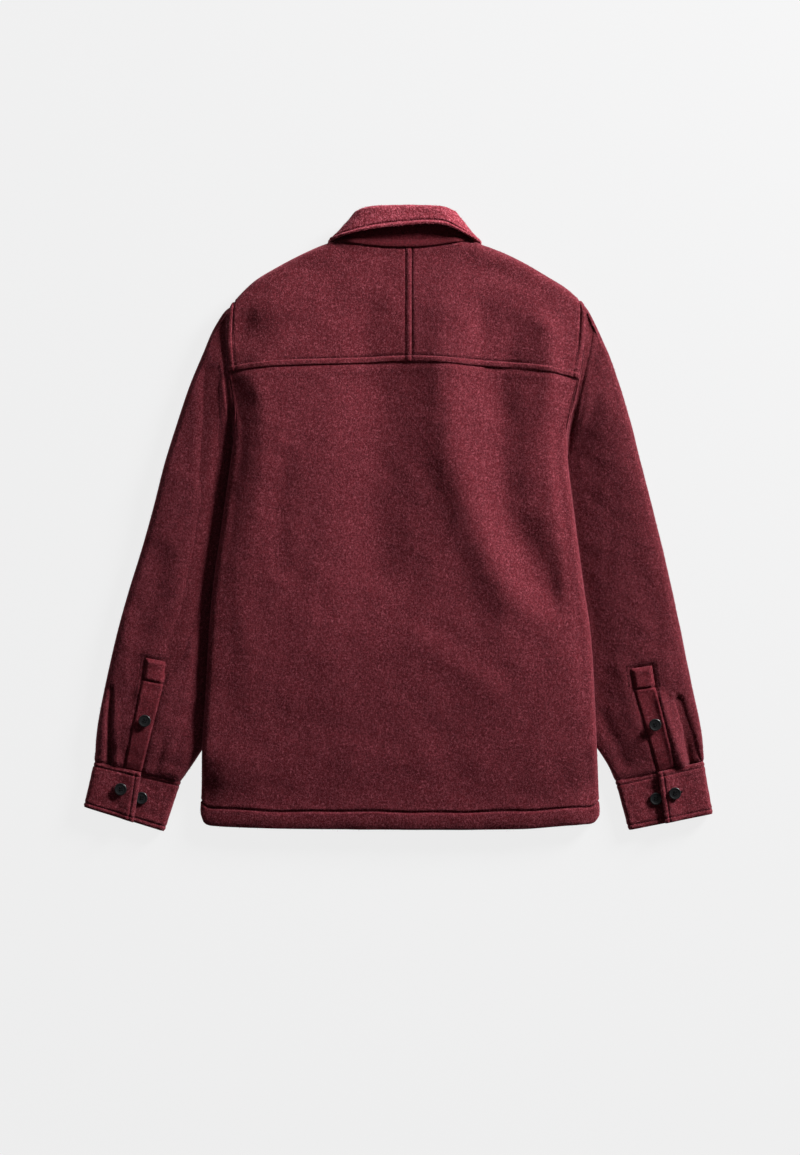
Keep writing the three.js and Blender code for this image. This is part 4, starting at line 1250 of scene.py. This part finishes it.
def build_back(step):
    """The back, with its turned-up hem, its creases and the lapped edge beside each armhole."""
    rows = fine_places(BACK, 0, step, (HEM_STITCH_INSET, 0.6, -0.6))
    columns = fine_places(BACK, 1, step, (TOPSTITCH_INSET, -TOPSTITCH_INSET))
    up, across = rows[1], columns[1]
    grid = refine(BACK, rows, columns)
    out = normals(grid, 1)
    x, y = grid[..., 0], grid[..., 1]
    lift = relaxed(grid, out, BODY_CREASES, BACK_UNEVENNESS)
    wander = 0.7 * np.sin(x / 31) + 0.5 * np.sin(x / 13 + 1)
    from_hem = up[:, None] + wander * smooth(-60, 0, -np.abs(up[:, None] - HEM_STITCH_INSET))
    lift += groove(from_hem, HEM_STITCH_INSET, 1.7, 1.5) + 0.8 * hump(from_hem - 12, 8)
    lift -= 1.2 * hump(from_hem, 2.2)
    from_edge = np.minimum(across, across[-1] - across)[None, :]
    in_armhole = smooth(UNDERARM + 30, UNDERARM + 52, y)
    lift += lapped_edge(from_edge) * in_armhole
    under_yoke = (up[-1] - up)[:, None]
    lift -= 0.9 * hump(under_yoke, 3.5) - 0.5 * hump(under_yoke - 9, 5)
    outer, inner, out = shaped(grid, 1, lift, CLOTH)
    outer[..., 2] = np.maximum(outer[..., 2], 0.1)
    cloth_piece("back", outer, inner, out)
    STITCH_LINES.append(stitch_line(outer, out, nearest(up, HEM_STITCH_INSET)))
    upper = y[:, 0] > UNDERARM + 40
    for column in (nearest(across, TOPSTITCH_INSET), nearest(across, across[-1] - TOPSTITCH_INSET)):
        STITCH_LINES.append(stitch_line(outer, out, upper, column))


def build_yokes(step):
    """Both halves of the yoke, the right one lapped over the left at the centre seam."""
    for side, name in SIDES.items():
        coarse = YOKES[side]
        rows = fine_places(coarse, 0, step, (TOPSTITCH_INSET, -TOPSTITCH_INSET))
        columns = fine_places(coarse, 1, step, (TOPSTITCH_INSET, 0.6, -1))
        grid = refine(coarse, rows, columns)
        row_index, column_index = np.arange(len(grid)), np.arange(len(grid[0]))
        out = normals(grid, -side)
        # True distances in each row and column, since the sections fan out
        up_row, along = distances(grid, 1), distances(grid, 0)
        from_armhole = along[-1:] - along
        lift = relaxed(grid, out, BODY_CREASES, YOKE_UNEVENNESS)
        lift += lapped_edge(up_row, height=1.2) + lapped_edge(from_armhole)
        if side == RIGHT:
            lift += lapped_edge(along, height=0.7)
        else:
            lift -= 0.5 * hump(along, 2.2)
        lift -= 0.8 * hump(up_row[:, -1:] - up_row, 3)
        outer, inner, out = shaped(grid, -side, lift, CLOTH)
        cloth_piece(f"yoke_{name}", outer, inner, out)
        lines = [
            (row_index, np.abs(up_row - TOPSTITCH_INSET).argmin(axis=1)),
            (np.abs(from_armhole - TOPSTITCH_INSET).argmin(axis=0), column_index),
        ]
        if side == RIGHT:
            lines.append((np.abs(along - TOPSTITCH_INSET).argmin(axis=0), column_index))
        for line in lines:
            STITCH_LINES.append(stitch_line(outer, out, *line))


def build_fronts(step):
    """Both fronts, plain since they lie hidden below."""
    for side, name in SIDES.items():
        coarse = FRONTS[side]
        grid = refine(coarse, fine_places(coarse, 0, step * 2), fine_places(coarse, 1, step * 2))
        grid[..., 2] = np.maximum(grid[..., 2], 0.05)
        outer, inner, out = shaped(grid, side, np.zeros(grid.shape[:2]), CLOTH - 0.1)
        cloth_piece(f"front_{name}", outer, inner, out, nap=0)


def build_sleeves(step):
    """Both sleeves, with their pleats and the dents round their plackets, and the placket strips."""
    for side, name in SIDES.items():
        outer_coarse, inner_coarse = SLEEVES[side]
        rows = fine_places(outer_coarse, 0, step * 1.15, (1.2, 3))
        columns = fine_places(outer_coarse, 1, step * 1.1, ring=True, band=np.arange(*PLEAT_BAND, 1.5))
        up = rows[1]
        grid = refine(outer_coarse, rows, columns, ring=True)
        inner = refine(inner_coarse, rows, columns, ring=True)
        out = normals(grid, side, ring=True)
        x, y = grid[..., 0], grid[..., 1]
        body_edge = np.array([edge_x(side, value) for value in y.ravel()]).reshape(y.shape)
        beside_body = smooth(2, 26, side * (x - body_edge) + 8)
        lift = relaxed(grid, out, SLEEVE_CREASES[side], SLEEVE_UNEVENNESS)
        lift = lift * beside_body * smooth(0, 12, up)[:, None]
        lift -= 0.7 * hump(up[:, None], 3)
        from_armhole = distances(grid, 0)
        sunk = SLEEVE_HEAD_DEPTH[side] * hump(from_armhole - 15, 11) * smooth(0, 9, from_armhole)
        lift -= sunk * top_facing(out) * smooth(60, 110, y)
        outer = grid + out * lift[..., None]
        outer[..., 2] = np.maximum(outer[..., 2], 0)
        height_at = height_finder(outer)
        from_strip, at_box = placket_distance(side, x, y)
        pressed = -2.2 * hump(from_strip, 2.2) - hump(from_strip - 4.2, 1) * at_box
        outer += out * (pressed * top_facing(out))[..., None]
        outer[..., 2] = np.maximum(outer[..., 2], 0)
        # The sleeves wear the darker copy of the wool, which is painted shade
        cloth_piece(f"sleeve_{name}", outer, inner, out, ring=True, material_key="sleeve")
        build_placket(side, name, height_at)


def placket_distance(side, x, y):
    """Distance from a placket strip, and 1 at places beside its box end."""
    top, corner, foot = PLACKET[side]
    rows = [top, corner, foot]
    away = np.full(x.shape, np.inf)
    for (a0, b0), (a1, b1) in zip(rows[:-1], rows[1:]):
        middle = [(point(*a) + point(*b)) / 2 for a, b in ((a0, b0), (a1, b1))]
        half = np.linalg.norm(point(*a1) - point(*b1)) / 2
        run = middle[1] - middle[0]
        length = np.linalg.norm(run)
        run = run / length
        along = (x - middle[0][0]) * run[0] + (y - middle[0][1]) * run[1]
        aside = np.abs((x - middle[0][0]) * run[1] - (y - middle[0][1]) * run[0])
        beyond_ends = np.maximum(np.maximum(-along, along - length), 0)
        away = np.minimum(away, np.hypot(np.maximum(aside - half, 0), beyond_ends))
    return away, smooth(corner[1][1] - 6, corner[1][1], y)


def placket_rows(side, count):
    """Both ends of each row of a placket strip, from its top edge down."""
    top, corner, foot = (np.array([point(*end) for end in pair]) for pair in PLACKET[side])
    split = round(count * BOX_SHARE)
    box = [mix(top, corner, k / split) for k in range(split)]
    return box + [mix(corner, foot, k / (count - split)) for k in range(count - split + 1)]


def box_outline(side, height_at):
    """The stitching on the sleeve round the box end of a placket, which holds the strip below."""
    (a, b), (c, d), _ = (tuple(point(*end) for end in pair) for pair in PLACKET[side])
    across, down = unit(b - a), unit(c - a)
    gap = 4.6
    corners = [
        c - across * gap + down * 26,
        a - across * gap - down * gap,
        b + across * gap - down * gap,
        d + across * gap,
    ]
    shares = np.linspace(0, 1, 12)[:-1]
    path = np.array([mix(p, q, t) for p, q in zip(corners[:-1], corners[1:]) for t in shares])
    path[:, 2] = [height_at(x, y) + 0.7 for x, y in path[:, :2]]
    return path, np.tile(point(0, 0, 1), (len(path), 1))


def build_placket(side, name, height_at):
    """The strip over the sleeve's slit, with its box end and stitching round the edge."""
    across_steps, count = 22, 90
    rows = placket_rows(side, count)
    grid = np.array([[mix(a, b, k / across_steps) for k in range(across_steps + 1)] for a, b in rows])
    coarse = grid[::6, ::4].copy()
    heights = np.array([[height_at(*p[:2]) for p in row] for row in coarse])
    row_places = (np.arange(len(coarse)), np.linspace(0, len(coarse) - 1, count + 1))
    column_places = (np.arange(len(coarse[0])), np.linspace(0, len(coarse[0]) - 1, across_steps + 1))
    levels = refine(heights[..., None], row_places, column_places)[..., 0]
    along = np.linalg.norm(grid - grid[:1], axis=-1)
    from_left = np.linalg.norm(grid - grid[:, :1], axis=-1)
    from_right = np.linalg.norm(grid - grid[:, -1:], axis=-1)
    edge = np.minimum(np.minimum(from_left, from_right), along)
    box_foot = along[round(count * BOX_SHARE)].mean()
    box = 1 - smooth(box_foot - 2, box_foot + 6, along)
    lift = PLACKET_HEIGHT + 0.6 + 1.3 * box - (1.7 + 1.2 * box) * hump(edge, 1.3 + 1.4 * box)
    lift -= 2.6 * hump(along - box_foot, 1.3)
    outer = grid.copy()
    outer[..., 2] = levels + ON_PANEL + lift
    inner = grid.copy()
    inner[..., 2] = levels + 0.15
    out = np.zeros_like(outer)
    out[..., 2] = 1
    cloth_piece(f"sleeve_placket_{name}", outer, inner, out, nap=0.4, material_key="strip")
    row = nearest(along[:, 5], box_foot)
    STITCH_LINES.append(stitch_line(outer, out, row, slice(1, -1)))
    STITCH_LINES.append(box_outline(side, height_at))


def build_cuffs():
    """Both cuffs, each a doubled strip round the wrist with a lip over its own other end."""
    for side, name in SIDES.items():
        coarse = cuff_grid(side)
        rows = fine_places(coarse, 0, SMALL_STEP, (EDGE_STITCH_INSET, -EDGE_STITCH_INSET, 0.6, -0.6))
        columns = fine_places(coarse, 1, SMALL_STEP, (EDGE_STITCH_INSET, 0.6))
        up, across = rows[1], columns[1]
        grid = refine(coarse, rows, columns)
        out = normals(grid, -side)
        resting = out[..., 2] < -0.4
        from_rim = np.minimum(up, up[-1] - up)[:, None]
        from_end = across[None, :]
        lift = groove(from_rim, EDGE_STITCH_INSET, 0.6, 0.9) + groove(from_end, EDGE_STITCH_INSET, 0.7, 0.9)
        lift -= 0.7 * hump(from_rim, 1.8) + 0.8 * hump(from_end, 1.6)
        lift += 0.22 * unevenness(grid, 16, 11)
        lift = np.where(resting, 0, lift)
        outer, inner = grid + out * lift[..., None], grid - out * CUFF_CLOTH
        outer[..., 2] = np.maximum(outer[..., 2], 0)
        cloth_piece(f"cuff_{name}", outer, inner, out)
        top_side = out[len(up) // 2, :, 2] > 0.1
        for row in (nearest(up, EDGE_STITCH_INSET), nearest(up, up[-1] - EDGE_STITCH_INSET)):
            STITCH_LINES.append(stitch_line(outer, out, row, top_side))
        column = nearest(across, EDGE_STITCH_INSET)
        STITCH_LINES.append(stitch_line(outer, out, slice(None), column))


def collar_part(points, marks=()):
    """Fine outer and inner points of the stand or the leaf, and the directions out of its cloth."""
    outer_coarse, inner_coarse = collar_grids(points)
    rows = fine_places(outer_coarse, 0, 2.6)
    columns = fine_places(outer_coarse, 1, SMALL_STEP, marks)
    grid = refine(outer_coarse, rows, columns)
    inner = refine(inner_coarse, rows, columns)
    return grid, inner, unit(grid - inner)


def build_stand():
    """The collar stand, with the narrow band along its foot."""
    grid, inner, out = collar_part(stand_points)
    outer = grid.copy()
    outer[..., 2] = np.maximum(outer[..., 2], 0.02)
    # The stand wears the lightened smooth cloth, which is painted light under the leaf
    cloth_piece("collar_stand", outer, inner, out, slot="stand", nap=0, material_key="stand")
    build_neck_band(grid, out)


def build_leaf():
    """The collar leaf, folded over the stand and stitched along its free edge."""
    grid, inner, out = collar_part(leaf_points, (-COLLAR_STITCH_INSET, -0.6))
    run = distances(grid, 1)
    from_edge = run[:, -1:] - run
    upward = smooth(-0.2, 0.3, out[..., 2])
    turned_edge = groove(from_edge, COLLAR_STITCH_INSET, 1.2, 1.0) + 0.9 * hump(from_edge - 2.2, 2)
    lift = (turned_edge + 0.3 * unevenness(grid, 22, 5)) * upward
    outer = grid + out * lift[..., None]
    outer[..., 2] = np.maximum(outer[..., 2], 0.02)
    # The leaf wears the lighter copy of the wool, which is painted light
    cloth_piece("collar_leaf", outer, inner, out, material_key="collar")
    picks = np.abs(from_edge - COLLAR_STITCH_INSET).argmin(axis=1)
    index = np.arange(len(grid))
    seen = out[index, picks, 2] > 0.2
    STITCH_LINES.append((outer[index, picks][seen], out[index, picks][seen]))


def build_neck_band(grid, out):
    """The narrow band along the foot of the stand."""
    depth = NECK_BAND
    seen = np.where(out[:, 0, 2] > 0.5)[0]
    run = np.linalg.norm(grid - grid[:, :1], axis=-1)
    reach = max(2, int((run[seen].mean(axis=0) < depth).sum()))
    strip, strip_out = grid[seen, : reach + 1], out[seen, : reach + 1]
    edge = np.minimum(run[seen, : reach + 1], depth - run[seen, : reach + 1])
    outer = strip + strip_out * (0.5 + 0.9 * smooth(-0.6, 1.6, edge))[..., None]
    inner = strip + strip_out * 0.12
    band = place_piece("neck_band", wall_mesh("neck_band", outer, inner), "band")
    narrow, long = sorted(span(outer))
    narrow = max(narrow, NARROWEST_SHEET)
    min(surface_area(outer), narrow * long)


def round_bar(mesh, sides, radius, length):
    """Adds an upright round bar about the middle and returns its points."""
    made = bmesh.ops.create_cone(
        mesh,
        cap_ends=True,
        segments=sides,
        radius1=radius * MM,
        radius2=radius * MM,
        depth=length * MM,
    )
    return made["verts"]


def button_mesh():
    """A four-hole button with a raised rim and a dished middle, drilled through."""
    back = [(0, 0), (5.6, 0), (7.5, 0.7), (7.8, 1.5)]
    rim_and_dish = [(7.6, 2.2), (6.9, BUTTON_HEIGHT), (6.2, 2.45), (5.2, 1.95), (0, 1.8)]
    shell = bmesh.new()
    ring = [shell.verts.new((r * MM, 0, z * MM)) for r, z in back + rim_and_dish]
    edges = [shell.edges.new(pair) for pair in zip(ring[:-1], ring[1:])]
    bmesh.ops.spin(
        shell,
        geom=ring + edges,
        cent=(0, 0, 0),
        axis=(0, 0, 1),
        angle=2 * math.pi,
        steps=48,
        use_merge=True,
    )
    bmesh.ops.remove_doubles(shell, verts=shell.verts, dist=1e-6)
    bmesh.ops.recalc_face_normals(shell, faces=shell.faces)
    mesh = bpy.data.meshes.new("button")
    shell.to_mesh(mesh)
    shell.free()
    blank = bpy.data.objects.new("button_blank", mesh)
    bpy.context.scene.collection.objects.link(blank)
    drill_mesh = bpy.data.meshes.new("drill")
    drill = bmesh.new()
    for k in range(4):
        angle = math.pi / 4 + k * math.pi / 2
        place = Vector((math.cos(angle), math.sin(angle), 0)) * HOLE_FROM_MIDDLE * MM
        bmesh.ops.translate(drill, verts=round_bar(drill, 16, HOLE_RADIUS, 8), vec=place)
    drill.to_mesh(drill_mesh)
    drill.free()
    drills = bpy.data.objects.new("drill", drill_mesh)
    bpy.context.scene.collection.objects.link(drills)
    holes = blank.modifiers.new("holes", "BOOLEAN")
    holes.object, holes.operation = drills, "DIFFERENCE"
    depsgraph = bpy.context.evaluated_depsgraph_get()
    drilled = bpy.data.meshes.new_from_object(blank.evaluated_get(depsgraph))
    bpy.data.objects.remove(blank)
    bpy.data.objects.remove(drills)
    drilled.name = "drilled_button"
    for polygon in drilled.polygons:
        polygon.use_smooth = abs(polygon.normal.z) < 0.999
    return drilled


def build_buttons():
    """A button with its thread on each button of the frame; those of the front face down."""
    drilled = button_mesh()
    names = [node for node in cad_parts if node.startswith("button_")]
    turns = np.random.default_rng(6).uniform(-0.5, 0.5, len(names))
    for name, turn in zip(sorted(names), turns):
        low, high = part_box(name)
        mesh = drilled.copy()
        mesh.name = name
        faces_down = name.startswith("button_front")
        middle = (low + high) / 2
        rotation = (math.pi if faces_down else 0, 0, turn)
        location = (middle.x, middle.y, high.z if faces_down else low.z)
        place_piece(name, mesh, "button", [name], location, rotation)
        level = low.z + (BUTTON_HEIGHT * MM if faces_down else 0)
        place_piece(
            f"{name}_thread",
            button_thread(f"{name}_thread"),
            "button_thread",
            location=(middle.x, middle.y, level),
            rotation=rotation,
        )


def button_thread(name):
    """Two bars of thread across the holes and a flat dark disc below, a thread shank and painted shade seen
    through the holes.
    """
    bars = bmesh.new()
    for offset in (-HOLE_SPACING / 2, HOLE_SPACING / 2):
        made = bmesh.ops.create_uvsphere(bars, u_segments=10, v_segments=6, radius=1)
        for v in made["verts"]:
            v.co = Vector((v.co.x * 1.9, v.co.y * 0.5 + offset, v.co.z * 0.5 + 2.1)) * MM
    # Dark disc under the holes: a thread shank, and painted shade that shows through the holes
    bmesh.ops.translate(bars, verts=round_bar(bars, 10, 3.4, 0.5), vec=(0, 0, 0.2 * MM))
    mesh = bpy.data.meshes.new(name)
    bars.to_mesh(mesh)
    bars.free()
    return mesh


def build_buttonholes():
    """A worked buttonhole beside each buttoned cuff button."""
    lines = []
    for side, name in SIDES.items():
        low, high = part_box(f"button_cuff_{name}")
        x, y = (low.x + high.x) / 2 / MM, (low.y + high.y) / 2 / MM
        top = CUFF_CORNERS[side][0]
        along = unit(point(*top[1]) - point(*top[0]))
        start = point(x, y, CUFF_HEIGHT + 0.3) - along * 12.5
        for shift in (-0.7, 0.7):
            across = point(-along[1], along[0]) * shift
            path = np.array([start + across, start + across + along * 9])
            lines.append((path, np.array([point(0, 0, 1)] * 2)))
    return lines


# Stage, in metres


FLOOR_HALF = 15.0
FLOOR_DEPTH = 0.0004
ROOM_LIGHT = 0.035
CAMERA_PLACE = (0.0019, -0.0749, 3.2)

# Area lights that point at the garment: name, place, width and power
LIGHTS = (
    ("key", (2.65, 2.25, 1.2), 1.0, 352),
    ("window", (0.0, 2.4, 0.9), 1.2, 8),
    ("overhead", (-0.3, 0.1, 2.4), 1.6, 2),
)


def floor_object():
    """Wide sheet of pale paper that glows a little, so that it stays even."""
    mesh = bpy.data.meshes.new("floor")
    corners = [(x * FLOOR_HALF, y * FLOOR_HALF, 0) for x, y in ((-1, -1), (1, -1), (1, 1), (-1, 1))]
    mesh.from_pydata(corners, [], [(0, 1, 2, 3)])
    tree = ShaderTree("pale_floor")
    tree.shader.inputs["Base Color"].default_value = linear((66, 66, 67))
    tree.shader.inputs["Emission Color"].default_value = linear((240, 240, 240))
    tree.shader.inputs["Emission Strength"].default_value = 0.94
    tree.shader.inputs["Roughness"].default_value = 0.9
    tree.shader.inputs["Specular IOR Level"].default_value = 0.1
    mesh.materials.append(tree.material)
    floor = bpy.data.objects.new("floor", mesh)
    floor.location.z = -FLOOR_DEPTH
    return floor


def area_light(name, location, width, power):
    lamp = bpy.data.lights.new(name, "AREA")
    lamp.size, lamp.energy = width, power
    light = bpy.data.objects.new(name, lamp)
    light.location = location
    light.rotation_euler = (-Vector(location)).to_track_quat("-Z", "Y").to_euler()
    return light


def camera_object():
    """Camera straight above that sees as much of the floor as the photo."""
    lens = bpy.data.cameras.new("above")
    lens.sensor_width = 36
    lens.lens = lens.sensor_width * CAMERA_PLACE[2] / (PHOTO_ROWS * MM_PER_PIXEL * MM)
    lens.clip_end = 20
    camera = bpy.data.objects.new("above", lens)
    camera.location = CAMERA_PLACE
    return camera


# Operators


def colour_setting(name, description, colour):
    return bpy.props.FloatVectorProperty(
        name=name,
        description=description,
        subtype="COLOR",
        size=4,
        default=linear(colour),
    )


class ShacketSettings(bpy.types.PropertyGroup):
    step: bpy.props.FloatProperty(
        name="Mesh step",
        description="Distance between points of the cloth, in millimetres",
        default=3.4,
        min=2,
        max=20,
    )
    hairs: bpy.props.FloatProperty(
        name="Hairs",
        description="Loose hairs on a square centimetre",
        default=28,
        min=0,
        max=60,
    )
    wool: colour_setting("Wool", "Colour of the wool", (104, 30, 39))
    deep: colour_setting("Wool depth", "Colour between the hairs", (56, 11, 17))
    hair: colour_setting("Hair", "Colour of lit hairs", (172, 88, 100))
    nap: colour_setting("Nap", "Colour of loose hairs", (156, 76, 90))
    thread: colour_setting("Thread", "Colour of the topstitching", (58, 18, 26))
    button: colour_setting("Button", "Colour of the buttons", (22, 23, 25))
    sheen: bpy.props.FloatProperty(
        name="Sheen",
        description="Strength of the wool's soft sheen",
        default=0.4,
        min=0,
        max=1,
    )


class SHACKET_OT_back(bpy.types.Operator):
    """Makes the back with its hem"""

    bl_idname = "shacket.back"
    bl_label = "Back"

    def execute(self, context):
        build_back(context.scene.shacket.step)
        return {"FINISHED"}


class SHACKET_OT_yokes(bpy.types.Operator):
    """Makes both halves of the yoke"""

    bl_idname = "shacket.yokes"
    bl_label = "Yokes"

    def execute(self, context):
        build_yokes(context.scene.shacket.step)
        return {"FINISHED"}


class SHACKET_OT_fronts(bpy.types.Operator):
    """Makes both fronts, on which the garment lies"""

    bl_idname = "shacket.fronts"
    bl_label = "Fronts"

    def execute(self, context):
        build_fronts(context.scene.shacket.step)
        return {"FINISHED"}


class SHACKET_OT_sleeves(bpy.types.Operator):
    """Makes both sleeves with their plackets"""

    bl_idname = "shacket.sleeves"
    bl_label = "Sleeves"

    def execute(self, context):
        build_sleeves(context.scene.shacket.step)
        return {"FINISHED"}


class SHACKET_OT_cuffs(bpy.types.Operator):
    """Makes both cuffs"""

    bl_idname = "shacket.cuffs"
    bl_label = "Cuffs"

    def execute(self, context):
        build_cuffs()
        return {"FINISHED"}


class SHACKET_OT_collar(bpy.types.Operator):
    """Makes the collar leaf, its stand and the neck band"""

    bl_idname = "shacket.collar"
    bl_label = "Collar"

    def execute(self, context):
        build_stand()
        build_leaf()
        return {"FINISHED"}


class SHACKET_OT_buttons(bpy.types.Operator):
    """Makes the four-hole buttons with their thread"""

    bl_idname = "shacket.buttons"
    bl_label = "Buttons"

    def execute(self, context):
        build_buttons()
        return {"FINISHED"}


class SHACKET_OT_stitching(bpy.types.Operator):
    """Lays the topstitching and the worked buttonholes on the pieces made so far"""

    bl_idname = "shacket.stitching"
    bl_label = "Stitching"

    def execute(self, context):
        place_piece("topstitching", stitch_mesh("topstitching", STITCH_LINES), "thread")
        place_piece("buttonholes", stitch_mesh("buttonholes", build_buttonholes()), "button_thread")
        return {"FINISHED"}


class SHACKET_OT_nap(bpy.types.Operator):
    """Scatters loose wool hairs over the pieces made so far"""

    bl_idname = "shacket.nap"
    bl_label = "Nap"

    def execute(self, context):
        largest = sorted(NAP_PATCHES, key=lambda patch: -patch[0][..., 0].size)[:5]
        for k, patch in enumerate(largest):
            thinned = 0.5 if k == 0 else 1
            mesh = nap_mesh(f"nap_{k + 1}", patch, context.scene.shacket.hairs * thinned, 20 + k)
            hairs = len(mesh.vertices) // 4
            if hairs > MOST_HAIRS:
                raise RuntimeError(f"nap_{k + 1} has {hairs} hairs, over {MOST_HAIRS}")
            place_piece(mesh.name, mesh, "nap")
        return {"FINISHED"}


class SHACKET_OT_stage(bpy.types.Operator):
    """Sets up the pale floor, the soft light and the camera above the garment"""

    bl_idname = "shacket.stage"
    bl_label = "Stage"

    def execute(self, context):
        stage = [floor_object(), camera_object(), *(area_light(*light) for light in LIGHTS)]
        for thing in stage:
            context.scene.collection.objects.link(thing)
        world = bpy.data.worlds.new("soft_room")
        world.use_nodes = True
        background = world.node_tree.nodes["Background"]
        background.inputs["Color"].default_value = (1, 1, 1, 1)
        background.inputs["Strength"].default_value = ROOM_LIGHT
        context.scene.world = world
        context.scene.view_settings.view_transform = "Standard"
        context.scene.camera = stage[1]
        return {"FINISHED"}


class SHACKET_PT_panel(bpy.types.Panel):
    """Lists the steps and the sizes and colours to change"""

    bl_idname = "SHACKET_PT_panel"
    bl_label = "Shacket"
    bl_space_type = "VIEW_3D"
    bl_region_type = "UI"
    bl_category = "Shacket"

    def draw(self, context):
        for name in ShacketSettings.__annotations__:
            self.layout.prop(context.scene.shacket, name)
        for operator in OPERATORS:
            self.layout.operator(operator.bl_idname)


OPERATORS = (
    SHACKET_OT_back,
    SHACKET_OT_yokes,
    SHACKET_OT_fronts,
    SHACKET_OT_sleeves,
    SHACKET_OT_cuffs,
    SHACKET_OT_collar,
    SHACKET_OT_buttons,
    SHACKET_OT_stitching,
    SHACKET_OT_nap,
    SHACKET_OT_stage,
)
CLASSES = (ShacketSettings, *OPERATORS, SHACKET_PT_panel)


def register():
    for item in CLASSES:
        bpy.utils.register_class(item)
    bpy.types.Scene.shacket = bpy.props.PointerProperty(type=ShacketSettings)


def unregister():
    del bpy.types.Scene.shacket
    for item in reversed(CLASSES):
        bpy.utils.unregister_class(item)


def main():
    register()
    bpy.ops.shacket.back()
    bpy.ops.shacket.yokes()
    bpy.ops.shacket.fronts()
    bpy.ops.shacket.sleeves()
    bpy.ops.shacket.cuffs()
    bpy.ops.shacket.collar()
    bpy.ops.shacket.buttons()
    bpy.ops.shacket.stitching()
    bpy.ops.shacket.nap()
    bpy.ops.shacket.stage()


if __name__ == "__main__":
    main()
